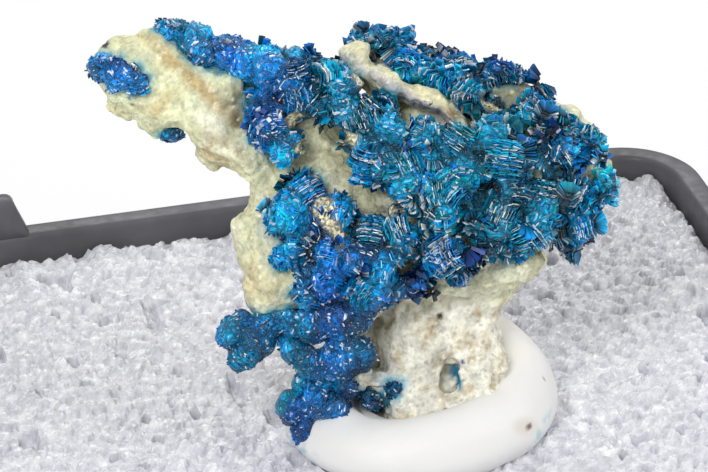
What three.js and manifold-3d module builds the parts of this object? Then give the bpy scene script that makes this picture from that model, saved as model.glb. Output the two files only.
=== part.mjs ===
// A thumbnail specimen of veszelyite: blue crystals on a pale matrix, pressed into a ball of white
// putty on the foam of an open plastic specimen box. Millimetres, +Z up, origin at the middle of
// the box's underside, the box's sides along X and Y.

import * as THREE from "three";
import { mergeVertices } from "three/addons/utils/BufferGeometryUtils.js";
import Module from "manifold-3d";

const wasm = await Module();
wasm.setup();

// Driving dimensions
const BOX_SIDE = 33.3; // outer side, 1 5/16 inch
const BOX_CORNER = 3.2; // outer corner radius
const BOX_WALL = 1.0;
const BOX_FLOOR = 1.2;
const RIM_TOP = 10; // height of the base's rim
const FOAM_DROP = 0.9; // how far the foam lies below the rim
const EAR = { width: 1.8, height: 1.55, slant: 0.5 }; // lid hinge ears on the back rim
const LEFT_EAR = -11.65;
const RIGHT_EAR = 11.05;
const GAP = 0.08; // clearance between pieces that touch
const FOAM_TOP = RIM_TOP - FOAM_DROP;

// The putty: a squashed ball with a raised rim round the specimen's foot
const PUTTY = { x: 0.64, y: -0.72, long: 5.3, wide: 4.5, turn: 8, rim: 2.35, bowl: 0.9 };
const LOBE = { rise: 1.1, at: 42, spread: 42 }; // where the putty was pressed up the stem
const FOOT = 0.7; // height of the specimen's foot above the foam

// The show side: the specimen is laid out as seen along sight lines from one point in front of it.
// u runs right and v up across the sight line through AIM, in mm at AIM, and d runs away.
const SHOW_AZIMUTH = -15.4;
const SHOW_ELEVATION = 29.6;
const SIGHT_DISTANCE = 150;
const AIM = new THREE.Vector3(-0.67, 3.89, 14.88);

const azimuth = THREE.MathUtils.degToRad(SHOW_AZIMUTH);
const elevation = THREE.MathUtils.degToRad(SHOW_ELEVATION);
const RIGHT = new THREE.Vector3(Math.cos(azimuth), Math.sin(azimuth), 0);
const AWAY = new THREE.Vector3(
  -Math.sin(azimuth) * Math.cos(elevation),
  Math.cos(azimuth) * Math.cos(elevation),
  -Math.sin(elevation),
);
const UP = new THREE.Vector3().crossVectors(RIGHT, AWAY);

// The point that shows at (u, v), d mm beyond AIM's own distance.
function onShow(u, v, d) {
  const grow = (SIGHT_DISTANCE + d) / SIGHT_DISTANCE;
  return AIM.clone()
    .addScaledVector(RIGHT, u * grow)
    .addScaledVector(UP, v * grow)
    .addScaledVector(AWAY, d);
}

// Smooth bumps from -1 to 1: a few sine waves in directions that the seed sets.
function bumps(p, wavelength, seed) {
  let sum = 0;
  for (let i = 0; i < 5; i++) {
    const a = seed * 1.7 + i * 2.399;
    const b = Math.sin(seed * 3.1 + i * 1.3);
    const flat = Math.sqrt(1 - b * b);
    const along = p.x * Math.cos(a) * flat + p.y * Math.sin(a) * flat + p.z * b;
    sum += Math.sin((along * 2 * Math.PI) / wavelength + seed + i * i);
  }
  return sum / 5;
}

// Solids from geometries and back
function solid(geometry) {
  const bare = geometry.index ? geometry.toNonIndexed() : geometry.clone();
  bare.deleteAttribute("normal");
  bare.deleteAttribute("uv");
  const merged = mergeVertices(bare, 1e-4);
  return new wasm.Manifold(
    new wasm.Mesh({
      numProp: 3,
      vertProperties: new Float32Array(merged.attributes.position.array),
      triVerts: new Uint32Array(merged.index.array),
    }),
  );
}

function geometryOf(body) {
  const mesh = body.getMesh();
  const positions = new Float32Array(mesh.numVert * 3);
  for (let i = 0; i < mesh.numVert; i++) {
    const start = i * mesh.numProp;
    positions.set(mesh.vertProperties.subarray(start, start + 3), i * 3);
  }
  const geometry = new THREE.BufferGeometry();
  geometry.setAttribute("position", new THREE.BufferAttribute(positions, 3));
  geometry.setIndex(new THREE.BufferAttribute(new Uint32Array(mesh.triVerts), 1));
  geometry.computeVertexNormals();
  return geometry;
}

function moved(geometry, move) {
  const position = geometry.attributes.position;
  const p = new THREE.Vector3();
  for (let i = 0; i < position.count; i++) {
    p.fromBufferAttribute(position, i);
    const q = move(p);
    position.setXYZ(i, q.x, q.y, q.z);
  }
  return geometry;
}

const joined = (bodies) => bodies.reduce((all, body) => all.add(body));

// The box: a moulded tray with two ears for the lid's hinge
function roundedSquare(side, corner) {
  const h = side / 2;
  const c = corner;
  const shape = new THREE.Shape();
  shape.moveTo(-h + c, -h);
  shape.lineTo(h - c, -h);
  shape.absarc(h - c, -h + c, c, -Math.PI / 2, 0);
  shape.lineTo(h, h - c);
  shape.absarc(h - c, h - c, c, 0, Math.PI / 2);
  shape.lineTo(-h + c, h);
  shape.absarc(-h + c, h - c, c, Math.PI / 2, Math.PI);
  shape.lineTo(-h, -h + c);
  shape.absarc(-h + c, -h + c, c, Math.PI, Math.PI * 1.5);
  return shape;
}

function block(side, corner, low, high) {
  const options = { depth: high - low, bevelEnabled: false, curveSegments: 4 };
  return new THREE.ExtrudeGeometry(roundedSquare(side, corner), options).translate(0, 0, low);
}

// An ear whose inner edge leans outwards; it's drawn for the left and mirrored for the right.
function hingeEar(x, mirror) {
  const half = EAR.width / 2;
  const sunk = 0.4;
  const round = 0.35;
  const outline = [
    [-half, -sunk],
    [half, -sunk],
    [half, 0],
    [half - EAR.slant, EAR.height - round],
    [half - EAR.slant - round, EAR.height],
    [-half + round, EAR.height],
    [-half, EAR.height - round],
  ];
  const shape = new THREE.Shape(outline.map(([u, v]) => new THREE.Vector2(mirror * u, v)));
  const ear = new THREE.ExtrudeGeometry(shape, { depth: BOX_WALL, bevelEnabled: false });
  return ear.rotateX(Math.PI / 2).translate(x, BOX_SIDE / 2, RIM_TOP);
}

function boxBase() {
  const outside = solid(block(BOX_SIDE, BOX_CORNER, 0, RIM_TOP));
  const pocketSide = BOX_SIDE - 2 * BOX_WALL;
  const pocket = solid(block(pocketSide, BOX_CORNER - BOX_WALL, BOX_FLOOR, RIM_TOP + 1));
  const ears = [solid(hingeEar(LEFT_EAR, 1)), solid(hingeEar(RIGHT_EAR, -1))];
  return joined([outside.subtract(pocket), ...ears]);
}

function foamInsert() {
  const side = BOX_SIDE - 2 * BOX_WALL - 2 * GAP;
  return solid(block(side, BOX_CORNER - BOX_WALL - GAP, BOX_FLOOR + GAP, FOAM_TOP));
}

// The matrix: rounded lumps and flat-sided slabs grown into one rock.
// Every piece takes grow, so the same rock made a little larger cuts clearance into what it meets.
function lump({ at, half, turn = 0, rough = 0.1, seed = 1, detail = 2 }, grow = 0) {
  const geometry = new THREE.IcosahedronGeometry(1, detail);
  const angle = THREE.MathUtils.degToRad(turn);
  const [u, v, d] = at;
  return moved(geometry, (p) => {
    const swell = 1 + rough * bumps(p, 1.5, seed);
    const a = p.x * (half[0] + grow) * swell;
    const b = p.y * (half[1] + grow) * swell;
    const across = a * Math.cos(angle) - b * Math.sin(angle);
    const upward = a * Math.sin(angle) + b * Math.cos(angle);
    return onShow(u + across, v + upward, d - p.z * (half[2] + grow) * swell);
  });
}

// A slab between an outline's near and far copies, its edges chamfered towards its middle.
// The outline runs clockwise as seen on the show side.
function slab({ outline, middle, near, far, bevel = 0.5, rough = 0.12, seed = 1 }, grow = 0) {
  const count = outline.length;
  const spread = outline.map(([u, v]) => Math.hypot(u - middle[0], v - middle[1]));
  const reach = spread.reduce((sum, r) => sum + r, 0) / count;
  const rings = [
    [1 - bevel / reach, near - grow],
    [1 + grow / reach, near + bevel],
    [1 + grow / reach, far - bevel],
    [1 - bevel / reach, far + grow],
  ];
  const points = [];
  for (const [scale, depth] of rings) {
    for (const [u, v] of outline) {
      const across = middle[0] + (u - middle[0]) * scale;
      points.push(new THREE.Vector3(across, middle[1] + (v - middle[1]) * scale, depth));
    }
  }
  points.push(new THREE.Vector3(...middle, near - grow), new THREE.Vector3(...middle, far + grow));
  const faces = [];
  for (let i = 0; i < count; i++) {
    const next = (i + 1) % count;
    for (let k = 0; k + 1 < rings.length; k++) {
      const here = k * count;
      const there = here + count;
      faces.push(here + i, here + next, there + i, here + next, there + next, there + i);
    }
    const last = (rings.length - 1) * count;
    faces.push(rings.length * count, next, i, rings.length * count + 1, last + i, last + next);
  }
  const geometry = new THREE.BufferGeometry().setFromPoints(points).setIndex(faces);
  return moved(geometry, (p) => {
    const shift = rough * bumps(p, 3.1, seed);
    return onShow(p.x + shift, p.y + shift, p.z + shift);
  });
}

const ARM = {
  outline: [
    [-9.8, 6.4],
    [-9.4, 7.2],
    [-8.8, 7.5],
    [-8.2, 7.5],
    [-7.5, 7.9],
    [-6.6, 7.3],
    [-5.4, 6.6],
    [-4.4, 6.2],
    [-3.6, 5.0],
    [-3.0, 3.6],
    [-2.9, 2.2],
    [-3.6, 1.9],
    [-4.5, 2.4],
    [-5.3, 2.8],
    [-5.8, 3.3],
    [-6.4, 3.9],
    [-7.4, 4.1],
    [-8.0, 4.5],
    [-8.8, 4.9],
    [-9.5, 5.5],
  ],
  middle: [-5.6, 5.0],
  near: -5.6,
  far: -2.6,
  bevel: 0.7,
  seed: 2,
};

const LEFT_FACE = {
  outline: [
    [-4.5, 0.5],
    [-3.8, 1.2],
    [-3.8, 1.9],
    [-3.2, 2.5],
    [-1.5, 2.8],
    [0.5, 2.2],
    [0.2, -1.0],
    [-1.4, -2.4],
    [-2.9, -3.1],
    [-3.6, -2.9],
    [-4.0, -2.3],
    [-4.2, -1.0],
  ],
  middle: [-2.0, 0.6],
  near: -5.3,
  far: -0.6,
  bevel: 0.8,
  seed: 5,
};

const STEM = {
  outline: [
    [0.9, -2.0],
    [1.8, -1.6],
    [3.4, -1.3],
    [5.6, -1.4],
    [6.1, -2.0],
    [5.5, -2.6],
    [5.4, -3.3],
    [5.8, -4.6],
    [5.6, -6.0],
    [5.0, -8.2],
    [2.0, -8.4],
    [1.1, -6.6],
    [0.8, -5.4],
    [0.9, -4.6],
    [0.7, -3.9],
    [1.1, -3.1],
  ],
  middle: [3.2, -4.4],
  near: -3.5,
  far: 1.3,
  bevel: 0.7,
  seed: 9,
};

const SHELF = {
  outline: [
    [1.5, -1.2],
    [3.0, -0.8],
    [5.0, -0.4],
    [7.0, -0.5],
    [7.2, -1.0],
    [6.6, -1.6],
    [5.6, -2.1],
    [3.8, -2.3],
    [1.8, -2.4],
  ],
  middle: [4.6, -1.3],
  near: -4.9,
  far: -0.4,
  bevel: 0.5,
  seed: 13,
};

const LENS_LEDGE = {
  outline: [
    [-1.7, -5.2],
    [-1.2, -5.3],
    [0.2, -5.0],
    [1.6, -4.9],
    [1.4, -5.9],
    [0.2, -5.9],
    [-0.6, -5.95],
    [-1.1, -5.8],
  ],
  middle: [0.1, -5.4],
  near: -3.6,
  far: -0.6,
  bevel: 0.25,
  rough: 0.05,
  seed: 21,
};

const ROCK_LUMPS = [
  { at: [6.8, 2.4, -3.6], half: [2.85, 2.7, 2.5], seed: 1, detail: 1 },
  { at: [3.0, 2.2, -3.4], half: [3.7, 3.0, 2.7], seed: 2, detail: 1 },
  { at: [-1.3, 1.2, -3.2], half: [2.6, 3.4, 2.3], seed: 3, detail: 1 },
  { at: [-2.0, 5.0, -3.9], half: [2.3, 1.6, 1.8], turn: -8, seed: 4, detail: 1 },
  { at: [-0.7, -2.2, -3.0], half: [2.2, 1.5, 1.8], seed: 5, detail: 1 },
  { at: [2.4, 5.6, -2.6], half: [2.4, 1.2, 1.9], turn: -12, seed: 6, detail: 1 },
  { at: [5.3, 5.0, -2.8], half: [1.9, 1.0, 1.7], turn: -8, seed: 7, detail: 1 },
  { at: [3.2, -0.6, -2.3], half: [3.2, 1.3, 2.2], turn: 8, seed: 8, detail: 1 },
  { at: [0.1, 6.3, -4.6], half: [0.6, 0.7, 1.1], turn: -30, seed: 14, detail: 1 },
  { at: [1.2, 5.7, -5.0], half: [1.1, 0.5, 1.5], turn: -28, seed: 15, detail: 1 },
  { at: [2.8, 5.0, -5.0], half: [1.3, 0.45, 1.5], turn: -22, seed: 16, detail: 1 },
  { at: [3.9, 4.2, -5.0], half: [0.9, 0.45, 1.4], turn: -40, seed: 17, detail: 1 },
  { at: [0.6, -4.0, -1.0], half: [1.4, 1.6, 1.3], seed: 9, detail: 1 },
  { at: [-8.5, 4.9, -3.9], half: [0.8, 0.6, 1.0], turn: -30, seed: 10, detail: 0 },
  { at: [-7.5, 4.3, -3.9], half: [0.8, 0.6, 1.1], turn: -30, seed: 11, detail: 0 },
  { at: [-5.4, 3.1, -3.8], half: [0.9, 0.6, 1.1], turn: -35, seed: 12, detail: 0 },
  { at: [-4.6, 5.6, -5.0], half: [0.6, 0.6, 0.9], turn: 0, seed: 13, detail: 0 },
];

const ROCK_SLABS = [ARM, LEFT_FACE, STEM, SHELF, LENS_LEDGE];

// Everything below this height, for cutting feet flat where they stand on the foam.
function below(height) {
  const span = 2 * BOX_SIDE;
  const slice = new THREE.BoxGeometry(span, span, BOX_SIDE);
  return solid(slice.translate(0, 0, height - BOX_SIDE / 2));
}

const PIT = { at: [3.54, -5.2, -3.6], half: [0.36, 0.68, 0.8], turn: -14, seed: 20, detail: 1 };

function matrixRock(grow) {
  const lumps = ROCK_LUMPS.map((spec) => solid(lump(spec, grow)));
  const slabs = ROCK_SLABS.map((spec) => solid(slab(spec, grow)));
  const rock = joined([...slabs, ...lumps]).subtract(below(FOAM_TOP + FOOT - grow));
  return grow > 0 ? rock : rock.subtract(solid(lump(PIT)));
}

// The crystals: blunt clusters, some with longer crystals grown through them. A cluster is
// [u, v, d, half width, half height, half depth, number of longer crystals].
const CRUST = [
  // along the top of the arm
  [-6.93, 7.6, -4.2, 0.7, 0.42, 1.2, 0],
  [-6.04, 7.2, -4.4, 0.8, 0.6, 1.3, 1],
  [-5.74, 6.85, -5.2, 0.55, 0.5, 0.8, 0],
  [-4.81, 6.8, -4.5, 0.8, 0.6, 1.3, 0],
  [-4.06, 6.45, -4.8, 0.75, 0.75, 1.3, 0],
  // the bulge left of the pale ridge
  [-2.94, 6.2, -5.0, 1.0, 0.85, 1.5, 0],
  [-2.01, 6.2, -5.0, 1.1, 0.8, 1.5, 0],
  [-1.08, 5.75, -5.2, 0.95, 0.75, 1.4, 0],
  [-2.4, 5.0, -5.8, 1.1, 0.95, 1.1, 0],
  [-0.8, 4.85, -5.9, 1.35, 0.95, 1.1, 0],
  [-3.35, 4.2, -5.6, 0.85, 1.15, 1.1, 0],
  [-2.5, 3.5, -5.9, 0.95, 0.75, 0.9, 0],
  [0.78, 4.55, -6.1, 0.9, 0.7, 1.1, 0],
  [0.22, 3.85, -6.2, 0.95, 0.85, 1.0, 0],
  // the middle
  [1.34, 3.6, -6.4, 1.0, 0.9, 1.1, 0],
  [1.16, 2.6, -6.5, 1.1, 0.85, 1.0, 0],
  [2.65, 3.7, -6.2, 0.95, 0.85, 1.1, 0],
  [2.15, 1.9, -6.5, 1.2, 1.0, 1.0, 1],
  [3.9, 3.0, -6.2, 1.25, 1.05, 1.0, 0],
  [4.14, 1.85, -6.5, 1.0, 0.9, 1.0, 0],
  [5.4, 3.6, -6.0, 1.0, 0.9, 1.0, 0],
  [5.6, 2.6, -6.3, 1.1, 0.9, 1.0, 0],
  [3.2, 0.9, -6.5, 1.0, 0.85, 1.0, 0],
  [4.4, 4.3, -5.2, 0.85, 0.8, 1.0, 0],
  [5.1, 4.6, -4.4, 0.8, 0.8, 1.0, 0],
  // the right side
  [6.75, 4.6, -4.9, 1.0, 0.8, 1.2, 0],
  [7.5, 4.95, -4.3, 0.7, 0.5, 1.0, 0],
  [7.86, 4.3, -4.5, 0.85, 0.8, 1.2, 0],
  [8.4, 3.2, -4.5, 0.95, 1.0, 1.2, 0],
  [8.95, 3.4, -3.9, 0.6, 0.8, 0.9, 0],
  [7.3, 2.95, -5.5, 1.2, 1.15, 1.1, 0],
  [8.95, 2.1, -4.1, 0.7, 1.0, 1.2, 0],
  [8.35, 1.45, -4.8, 0.9, 0.85, 1.1, 0],
  [7.12, 1.5, -5.8, 1.0, 0.85, 1.0, 0],
  [5.81, 1.5, -6.3, 0.95, 0.9, 1.0, 0],
  [8.05, 0.3, -4.7, 0.85, 0.75, 1.0, 0],
  [8.2, -0.25, -4.5, 0.6, 0.45, 0.8, 0],
  [6.93, 0.4, -5.5, 1.0, 0.85, 1.0, 1],
  [5.55, 0.5, -6.0, 1.05, 1.0, 1.0, 0],
  [6.0, -0.4, -5.4, 0.9, 0.5, 0.9, 0],
  [4.7, 0.5, -6.4, 0.6, 0.9, 1.0, 0],
  [4.77, -0.6, -6.1, 0.5, 0.8, 0.9, 0],
  [3.2, -0.6, -6.2, 0.95, 0.95, 1.0, 0],
  [3.95, -1.2, -5.6, 0.6, 0.5, 0.8, 0],
  [2.46, -0.1, -6.6, 0.6, 0.85, 0.9, 0],
  // behind the pale ridge
  [0.6, 7.15, -3.6, 0.75, 0.72, 1.1, 0],
  [1.53, 7.2, -3.5, 0.85, 0.75, 1.2, 0],
  [1.95, 6.5, -3.8, 0.7, 0.6, 1.0, 0],
  [2.83, 5.95, -3.7, 0.9, 0.9, 1.2, 0],
  [3.76, 5.7, -3.8, 0.8, 0.8, 1.1, 0],
  [4.32, 5.0, -4.4, 0.9, 0.8, 1.1, 0],
  [5.2, 6.15, -3.4, 0.6, 0.55, 0.9, 0],
  [4.88, 5.55, -3.9, 0.65, 0.65, 0.9, 0],
  [5.85, 5.85, -3.6, 0.7, 0.6, 0.9, 0],
  // the lower left face
  [-2.01, 1.5, -5.5, 0.95, 0.85, 1.0, 1],
  [-2.57, 0.4, -5.3, 0.6, 0.95, 0.9, 0],
  [-1.83, -0.5, -5.6, 0.95, 0.9, 1.0, 0],
  [-0.89, 0.75, -5.9, 1.05, 0.95, 1.0, 0],
  [-0.34, -0.7, -6.1, 1.1, 0.95, 1.1, 0],
  [1.1, -0.3, -6.3, 1.15, 1.25, 1.0, 0],
  [-1.2, -1.75, -5.5, 1.2, 0.95, 1.0, 0],
  [0.9, -1.95, -5.7, 1.3, 0.8, 1.0, 1],
  [2.4, -1.8, -5.3, 0.7, 0.65, 0.9, 0],
  // hanging below
  [-0.34, -2.85, -5.1, 1.1, 0.85, 1.1, 0],
  [-1.38, -3.3, -4.8, 0.75, 0.6, 0.8, 0],
  [-2.39, -3.2, -4.3, 0.85, 0.45, 0.8, 0],
  [-3.3, -3.35, -4.1, 0.8, 0.5, 0.8, 0],
  [-3.6, -3.9, -4.1, 0.7, 0.6, 0.7, 0],
  [-4.4, -3.5, -3.9, 0.5, 0.75, 0.7, 0],
  [-4.15, -4.5, -3.9, 0.5, 0.45, 0.6, 0],
  [-0.45, -3.9, -4.6, 0.55, 0.6, 0.7, 0],
  [-1.9, -4.55, -4.3, 1.0, 0.5, 0.7, 0],
  [-0.3, -4.6, -4.4, 1.2, 0.6, 0.8, 0],
  // over the top edge towards the back
  [1.2, 6.7, -2.4, 1.0, 0.9, 1.1, 0],
  [3.3, 6.2, -2.6, 1.1, 0.9, 1.1, 0],
  [-1.2, 6.1, -3.2, 1.3, 0.8, 1.2, 0],
];

const BACK_PATCH = [
  [2.2, 5.4, -0.8, 1.3, 1.0, 0.8, 1],
  [4.6, 4.9, -0.9, 1.4, 1.0, 0.9, 0],
  [3.5, 3.9, -0.5, 1.4, 1.1, 0.8, 1],
  [5.4, 3.7, -0.9, 1.3, 1.0, 0.9, 0],
  [6.9, 3.3, -1.1, 1.2, 1.1, 0.8, 0],
  [6.3, 4.4, -1.5, 1.0, 0.8, 0.9, 1],
];

const TIP_PATCH = [
  [-9.25, 6.25, -5.2, 0.62, 0.5, 0.7, 0],
  [-8.65, 5.95, -5.45, 0.62, 0.5, 0.6, 1],
  [-8.15, 5.65, -5.45, 0.52, 0.48, 0.6, 0],
];

const ARM_LUMP = [
  [-6.95, 3.9, -4.0, 0.38, 0.3, 0.5, 0],
  [-6.6, 3.8, -3.8, 0.3, 0.24, 0.4, 0],
];

const LEDGE_STRIP = [
  [-1.85, -5.5, -3.4, 0.38, 0.36, 0.5, 0],
  [-1.1, -5.45, -3.6, 0.6, 0.24, 0.4, 0],
  [-0.4, -5.55, -3.65, 0.6, 0.24, 0.4, 0],
];

const FOOT_CLUSTER = [
  [-2.25, -6.4, -3.3, 0.55, 0.6, 0.7, 0],
  [-1.55, -6.3, -3.4, 0.6, 0.5, 0.7, 1],
  [-0.75, -6.4, -3.3, 0.65, 0.5, 0.7, 1],
  [-1.75, -7.15, -3.1, 0.5, 0.6, 0.5, 0],
];

const STEM_PATCH = [
  [0.75, -5.85, -2.9, 0.5, 0.5, 0.7, 0],
  [1.4, -5.75, -3.1, 0.6, 0.55, 0.8, 0],
];

// A cluster is a blunt many-sided crystal with a longer one grown through it, standing out of it.
function cluster([u, v, d, across, high, deep, spurs], index, grow) {
  const at = [u, v, d];
  const half = [across * 1.12, high * 1.12, deep * 1.05];
  const turn = 40 * Math.sin(index * 2.1);
  const blunt = { at, half, turn, seed: index + 1.3, rough: 0.14, detail: 0 };
  const bodies = [solid(lump(blunt, grow))];
  for (let k = 0; k < spurs; k++) {
    const around = index * 1.7 + k * 2.2;
    const off = [0.42 * across * Math.cos(around), 0.42 * high * Math.sin(around), -0.3 * deep];
    const spur = {
      at: [u + off[0], v + off[1], d + off[2]],
      half: [across * 0.82, high * 0.52, deep * 0.85],
      turn: THREE.MathUtils.radToDeg(around) + 20,
      seed: index * 2 + k,
      rough: 0.12,
      detail: 0,
    };
    bodies.push(solid(lump(spur, grow)));
  }
  return joined(bodies);
}

const crystals = (list, grow = 0) => joined(list.map((row, i) => cluster(row, i, grow)));

// The largest of a solid's separate bodies.
function whole(body) {
  const parts = body.decompose();
  return parts.reduce((best, part) => (part.volume() > best.volume() ? part : best));
}

// The putty: rings of points from its middle over the rim and down to its underside. Each is
// a share of the radius and a height, the first ones in the bowl and the others on the rim.
function puttyBall() {
  const bowl = [0.35];
  const rim = [
    [0.5, 0.72],
    [0.6, 0.96],
    [0.7, 1],
    [0.82, 0.9],
    [0.93, 0.68],
    [1.0, 0.36],
    [0.88, 0],
  ];
  const segments = 20;
  const base = FOAM_TOP + GAP;
  const points = [];
  const ring = (share, heightAt) => {
    for (let i = 0; i < segments; i++) {
      const turn = (i / segments) * 2 * Math.PI;
      const skew = turn - THREE.MathUtils.degToRad(PUTTY.turn);
      const mean = (PUTTY.long + PUTTY.wide) / 2;
      const oval = mean + ((PUTTY.long - PUTTY.wide) / 2) * Math.cos(2 * skew);
      const radius = share * oval * (1 + 0.02 * Math.sin(3 * turn + 1));
      const x = PUTTY.x + radius * Math.cos(turn);
      const y = PUTTY.y + radius * Math.sin(turn);
      points.push(new THREE.Vector3(x, y, base + heightAt(THREE.MathUtils.radToDeg(turn))));
    }
  };
  bowl.forEach((share) => ring(share, () => PUTTY.bowl));
  for (const [share, level] of rim) {
    ring(share, (turn) => {
      const away = Math.abs(((turn - LOBE.at + 540) % 360) - 180) / LOBE.spread;
      return level * (PUTTY.rim + LOBE.rise * Math.exp(-away * away));
    });
  }
  const rings = bowl.length + rim.length;
  const top = points.push(new THREE.Vector3(PUTTY.x, PUTTY.y, base + PUTTY.bowl)) - 1;
  const bottom = points.push(new THREE.Vector3(PUTTY.x, PUTTY.y, base)) - 1;
  const faces = [];
  for (let i = 0; i < segments; i++) {
    const next = (i + 1) % segments;
    for (let k = 0; k + 1 < rings; k++) {
      const here = k * segments;
      const out = here + segments;
      faces.push(here + i, out + i, here + next, here + next, out + i, out + next);
    }
    const last = (rings - 1) * segments;
    faces.push(top, i, next, bottom, last + next, last + i);
  }
  return new THREE.BufferGeometry().setFromPoints(points).setIndex(faces);
}

// The finished pieces, each cut clear of the one it grips
const rock = matrixRock(0);
const rockRoom = matrixRock(GAP);
const onRock = (list) => whole(crystals(list).subtract(rockRoom));
const seat = solid(puttyBall());
const seatRoom = joined([rockRoom, crystals(FOOT_CLUSTER, GAP), crystals(STEM_PATCH, GAP)]);

const LOOKS = {
  plastic: { color: 0x6a6a70, roughness: 0.42, metalness: 0 },
  foam: { color: 0xdcdbe6, roughness: 0.6, metalness: 0 },
  putty: { color: 0xf7f6f4, roughness: 0.55, metalness: 0 },
  rock: { color: 0xded6ae, roughness: 0.85, metalness: 0 },
  crystal: { color: 0x0b5c9e, roughness: 0.3, metalness: 0 },
};

const PIECES = [
  ["box_base", boxBase(), "plastic"],
  ["foam_insert", foamInsert(), "foam"],
  ["putty", whole(seat.subtract(seatRoom)), "putty"],
  ["matrix", whole(rock), "rock"],
  ["crystal_crust", onRock(CRUST), "crystal"],
  ["crystal_back_patch", onRock(BACK_PATCH), "crystal"],
  ["crystal_tip_patch", onRock(TIP_PATCH), "crystal"],
  ["crystal_arm_lump", onRock(ARM_LUMP), "crystal"],
  ["crystal_ledge_strip", onRock(LEDGE_STRIP), "crystal"],
  ["crystal_foot_cluster", onRock(FOOT_CLUSTER), "crystal"],
  ["crystal_stem_patch", onRock(STEM_PATCH), "crystal"],
];

const specimen = new THREE.Group();
for (const [name, body, look] of PIECES) {
  const material = new THREE.MeshStandardMaterial({ ...LOOKS[look], flatShading: true });
  const mesh = new THREE.Mesh(geometryOf(body), material);
  mesh.name = name;
  specimen.add(mesh);
}

export default specimen;
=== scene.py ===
# %% [markdown]
# A thumbnail specimen of veszelyite in the open base of its plastic box: blue crystals on a pale
# rock, held by white putty on a bed of foam. The box, foam, putty and rock come from the packed
# model as plain solids. Each is dressed here with a finer surface worked out with numpy, and the
# crystals are grown from a few kinds of small blade and grain.

import math

import bmesh
import bpy
import numpy as np
from mathutils import Matrix


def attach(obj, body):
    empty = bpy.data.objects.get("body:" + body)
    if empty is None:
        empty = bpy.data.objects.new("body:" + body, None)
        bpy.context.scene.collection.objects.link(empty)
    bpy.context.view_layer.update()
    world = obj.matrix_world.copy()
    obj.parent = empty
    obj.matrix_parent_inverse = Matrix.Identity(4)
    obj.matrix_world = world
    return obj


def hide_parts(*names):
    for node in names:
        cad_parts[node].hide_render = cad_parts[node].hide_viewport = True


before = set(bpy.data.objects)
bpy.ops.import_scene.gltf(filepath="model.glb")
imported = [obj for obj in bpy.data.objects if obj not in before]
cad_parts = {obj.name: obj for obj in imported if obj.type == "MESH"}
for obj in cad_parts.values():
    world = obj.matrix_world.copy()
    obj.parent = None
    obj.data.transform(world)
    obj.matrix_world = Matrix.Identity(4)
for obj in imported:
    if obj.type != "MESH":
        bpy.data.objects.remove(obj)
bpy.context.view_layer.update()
MM = 0.001
print("solids:", ", ".join(sorted(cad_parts)))

# %% [markdown]
# The photograph was taken from a little left of the box's front, about 30 degrees down, through
# a long lens. The same sight frame places features on the specimen: u runs right and v up across
# the line of sight, in millimetres at the aim point, and d runs away from the eye.

# %% The sight frame and the camera
SHOW_AZIMUTH = math.radians(-15.4)
SHOW_ELEVATION = math.radians(29.6)
SIGHT_DISTANCE = 150.0
AIM = np.array([-0.67, 3.89, 14.88])
PIXELS_PER_MM = 26.83
FRAME_WIDTH = 708
SENSOR = 36.0

RIGHT = np.array([math.cos(SHOW_AZIMUTH), math.sin(SHOW_AZIMUTH), 0.0])
AWAY = np.array(
    [
        -math.sin(SHOW_AZIMUTH) * math.cos(SHOW_ELEVATION),
        math.cos(SHOW_AZIMUTH) * math.cos(SHOW_ELEVATION),
        -math.sin(SHOW_ELEVATION),
    ]
)
UP = np.cross(RIGHT, AWAY)
EYE = AIM - SIGHT_DISTANCE * AWAY


def show_of(points):
    """Each point's u, v and d in the sight frame."""
    ray = points - EYE
    depth = ray @ AWAY
    return (
        ray @ RIGHT * SIGHT_DISTANCE / depth,
        ray @ UP * SIGHT_DISTANCE / depth,
        depth - SIGHT_DISTANCE,
    )


camera = bpy.data.objects.new("camera", bpy.data.cameras.new("camera"))
bpy.context.scene.collection.objects.link(camera)
camera.data.sensor_width = SENSOR
camera.data.lens = SENSOR * SIGHT_DISTANCE * PIXELS_PER_MM / FRAME_WIDTH
camera.data.clip_start = 0.01
turn = np.eye(4)
turn[:3, 0], turn[:3, 1], turn[:3, 2], turn[:3, 3] = RIGHT, UP, -AWAY, EYE * MM
camera.matrix_world = Matrix(turn)
bpy.context.scene.camera = camera
print("lens", round(camera.data.lens, 1), "mm")

# %% [markdown]
# Every new surface is an array of points and an array of faces. Blender could be asked for them
# one vertex at a time, but foreach_set hands over a whole array at once, which is hundreds of
# times faster. One helper does that, lets the piece ride on the box, and keeps any colours
# worked out point by point as an attribute that the materials read.

# %% From arrays to a piece


def piece(name, points, faces, material, slot, tint=None, smooth=True):
    """A mesh from points in millimetres and faces that all have the same number of sides."""
    mesh = bpy.data.meshes.new(name)
    mesh.vertices.add(len(points))
    mesh.vertices.foreach_set("co", (np.asarray(points, np.float32) * MM).ravel())
    mesh.loops.add(faces.size)
    mesh.loops.foreach_set("vertex_index", faces.ravel().astype(np.int32))
    mesh.polygons.add(len(faces))
    starts = np.arange(len(faces), dtype=np.int32) * faces.shape[1]
    mesh.polygons.foreach_set("loop_start", starts)
    mesh.update(calc_edges=True)
    mesh.polygons.foreach_set("use_smooth", np.full(len(faces), smooth))
    if tint is not None:
        colours = np.ones((len(points), 4), np.float32)
        colours[:, :3] = tint
        layer = mesh.attributes.new("tint", "FLOAT_COLOR", "POINT")
        layer.data.foreach_set("color", colours.ravel())
    mesh.materials.append(material)
    made = bpy.data.objects.new(name, mesh)
    bpy.context.scene.collection.objects.link(made)
    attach(made, "root")
    print(name, len(points), "points", len(faces), "faces")
    return made


# %% [markdown]
# Colours are written as six-figure codes, as a paint program shows them. Blender mixes light
# with linear values, so each code is turned into those first.

# %% Colours


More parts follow.
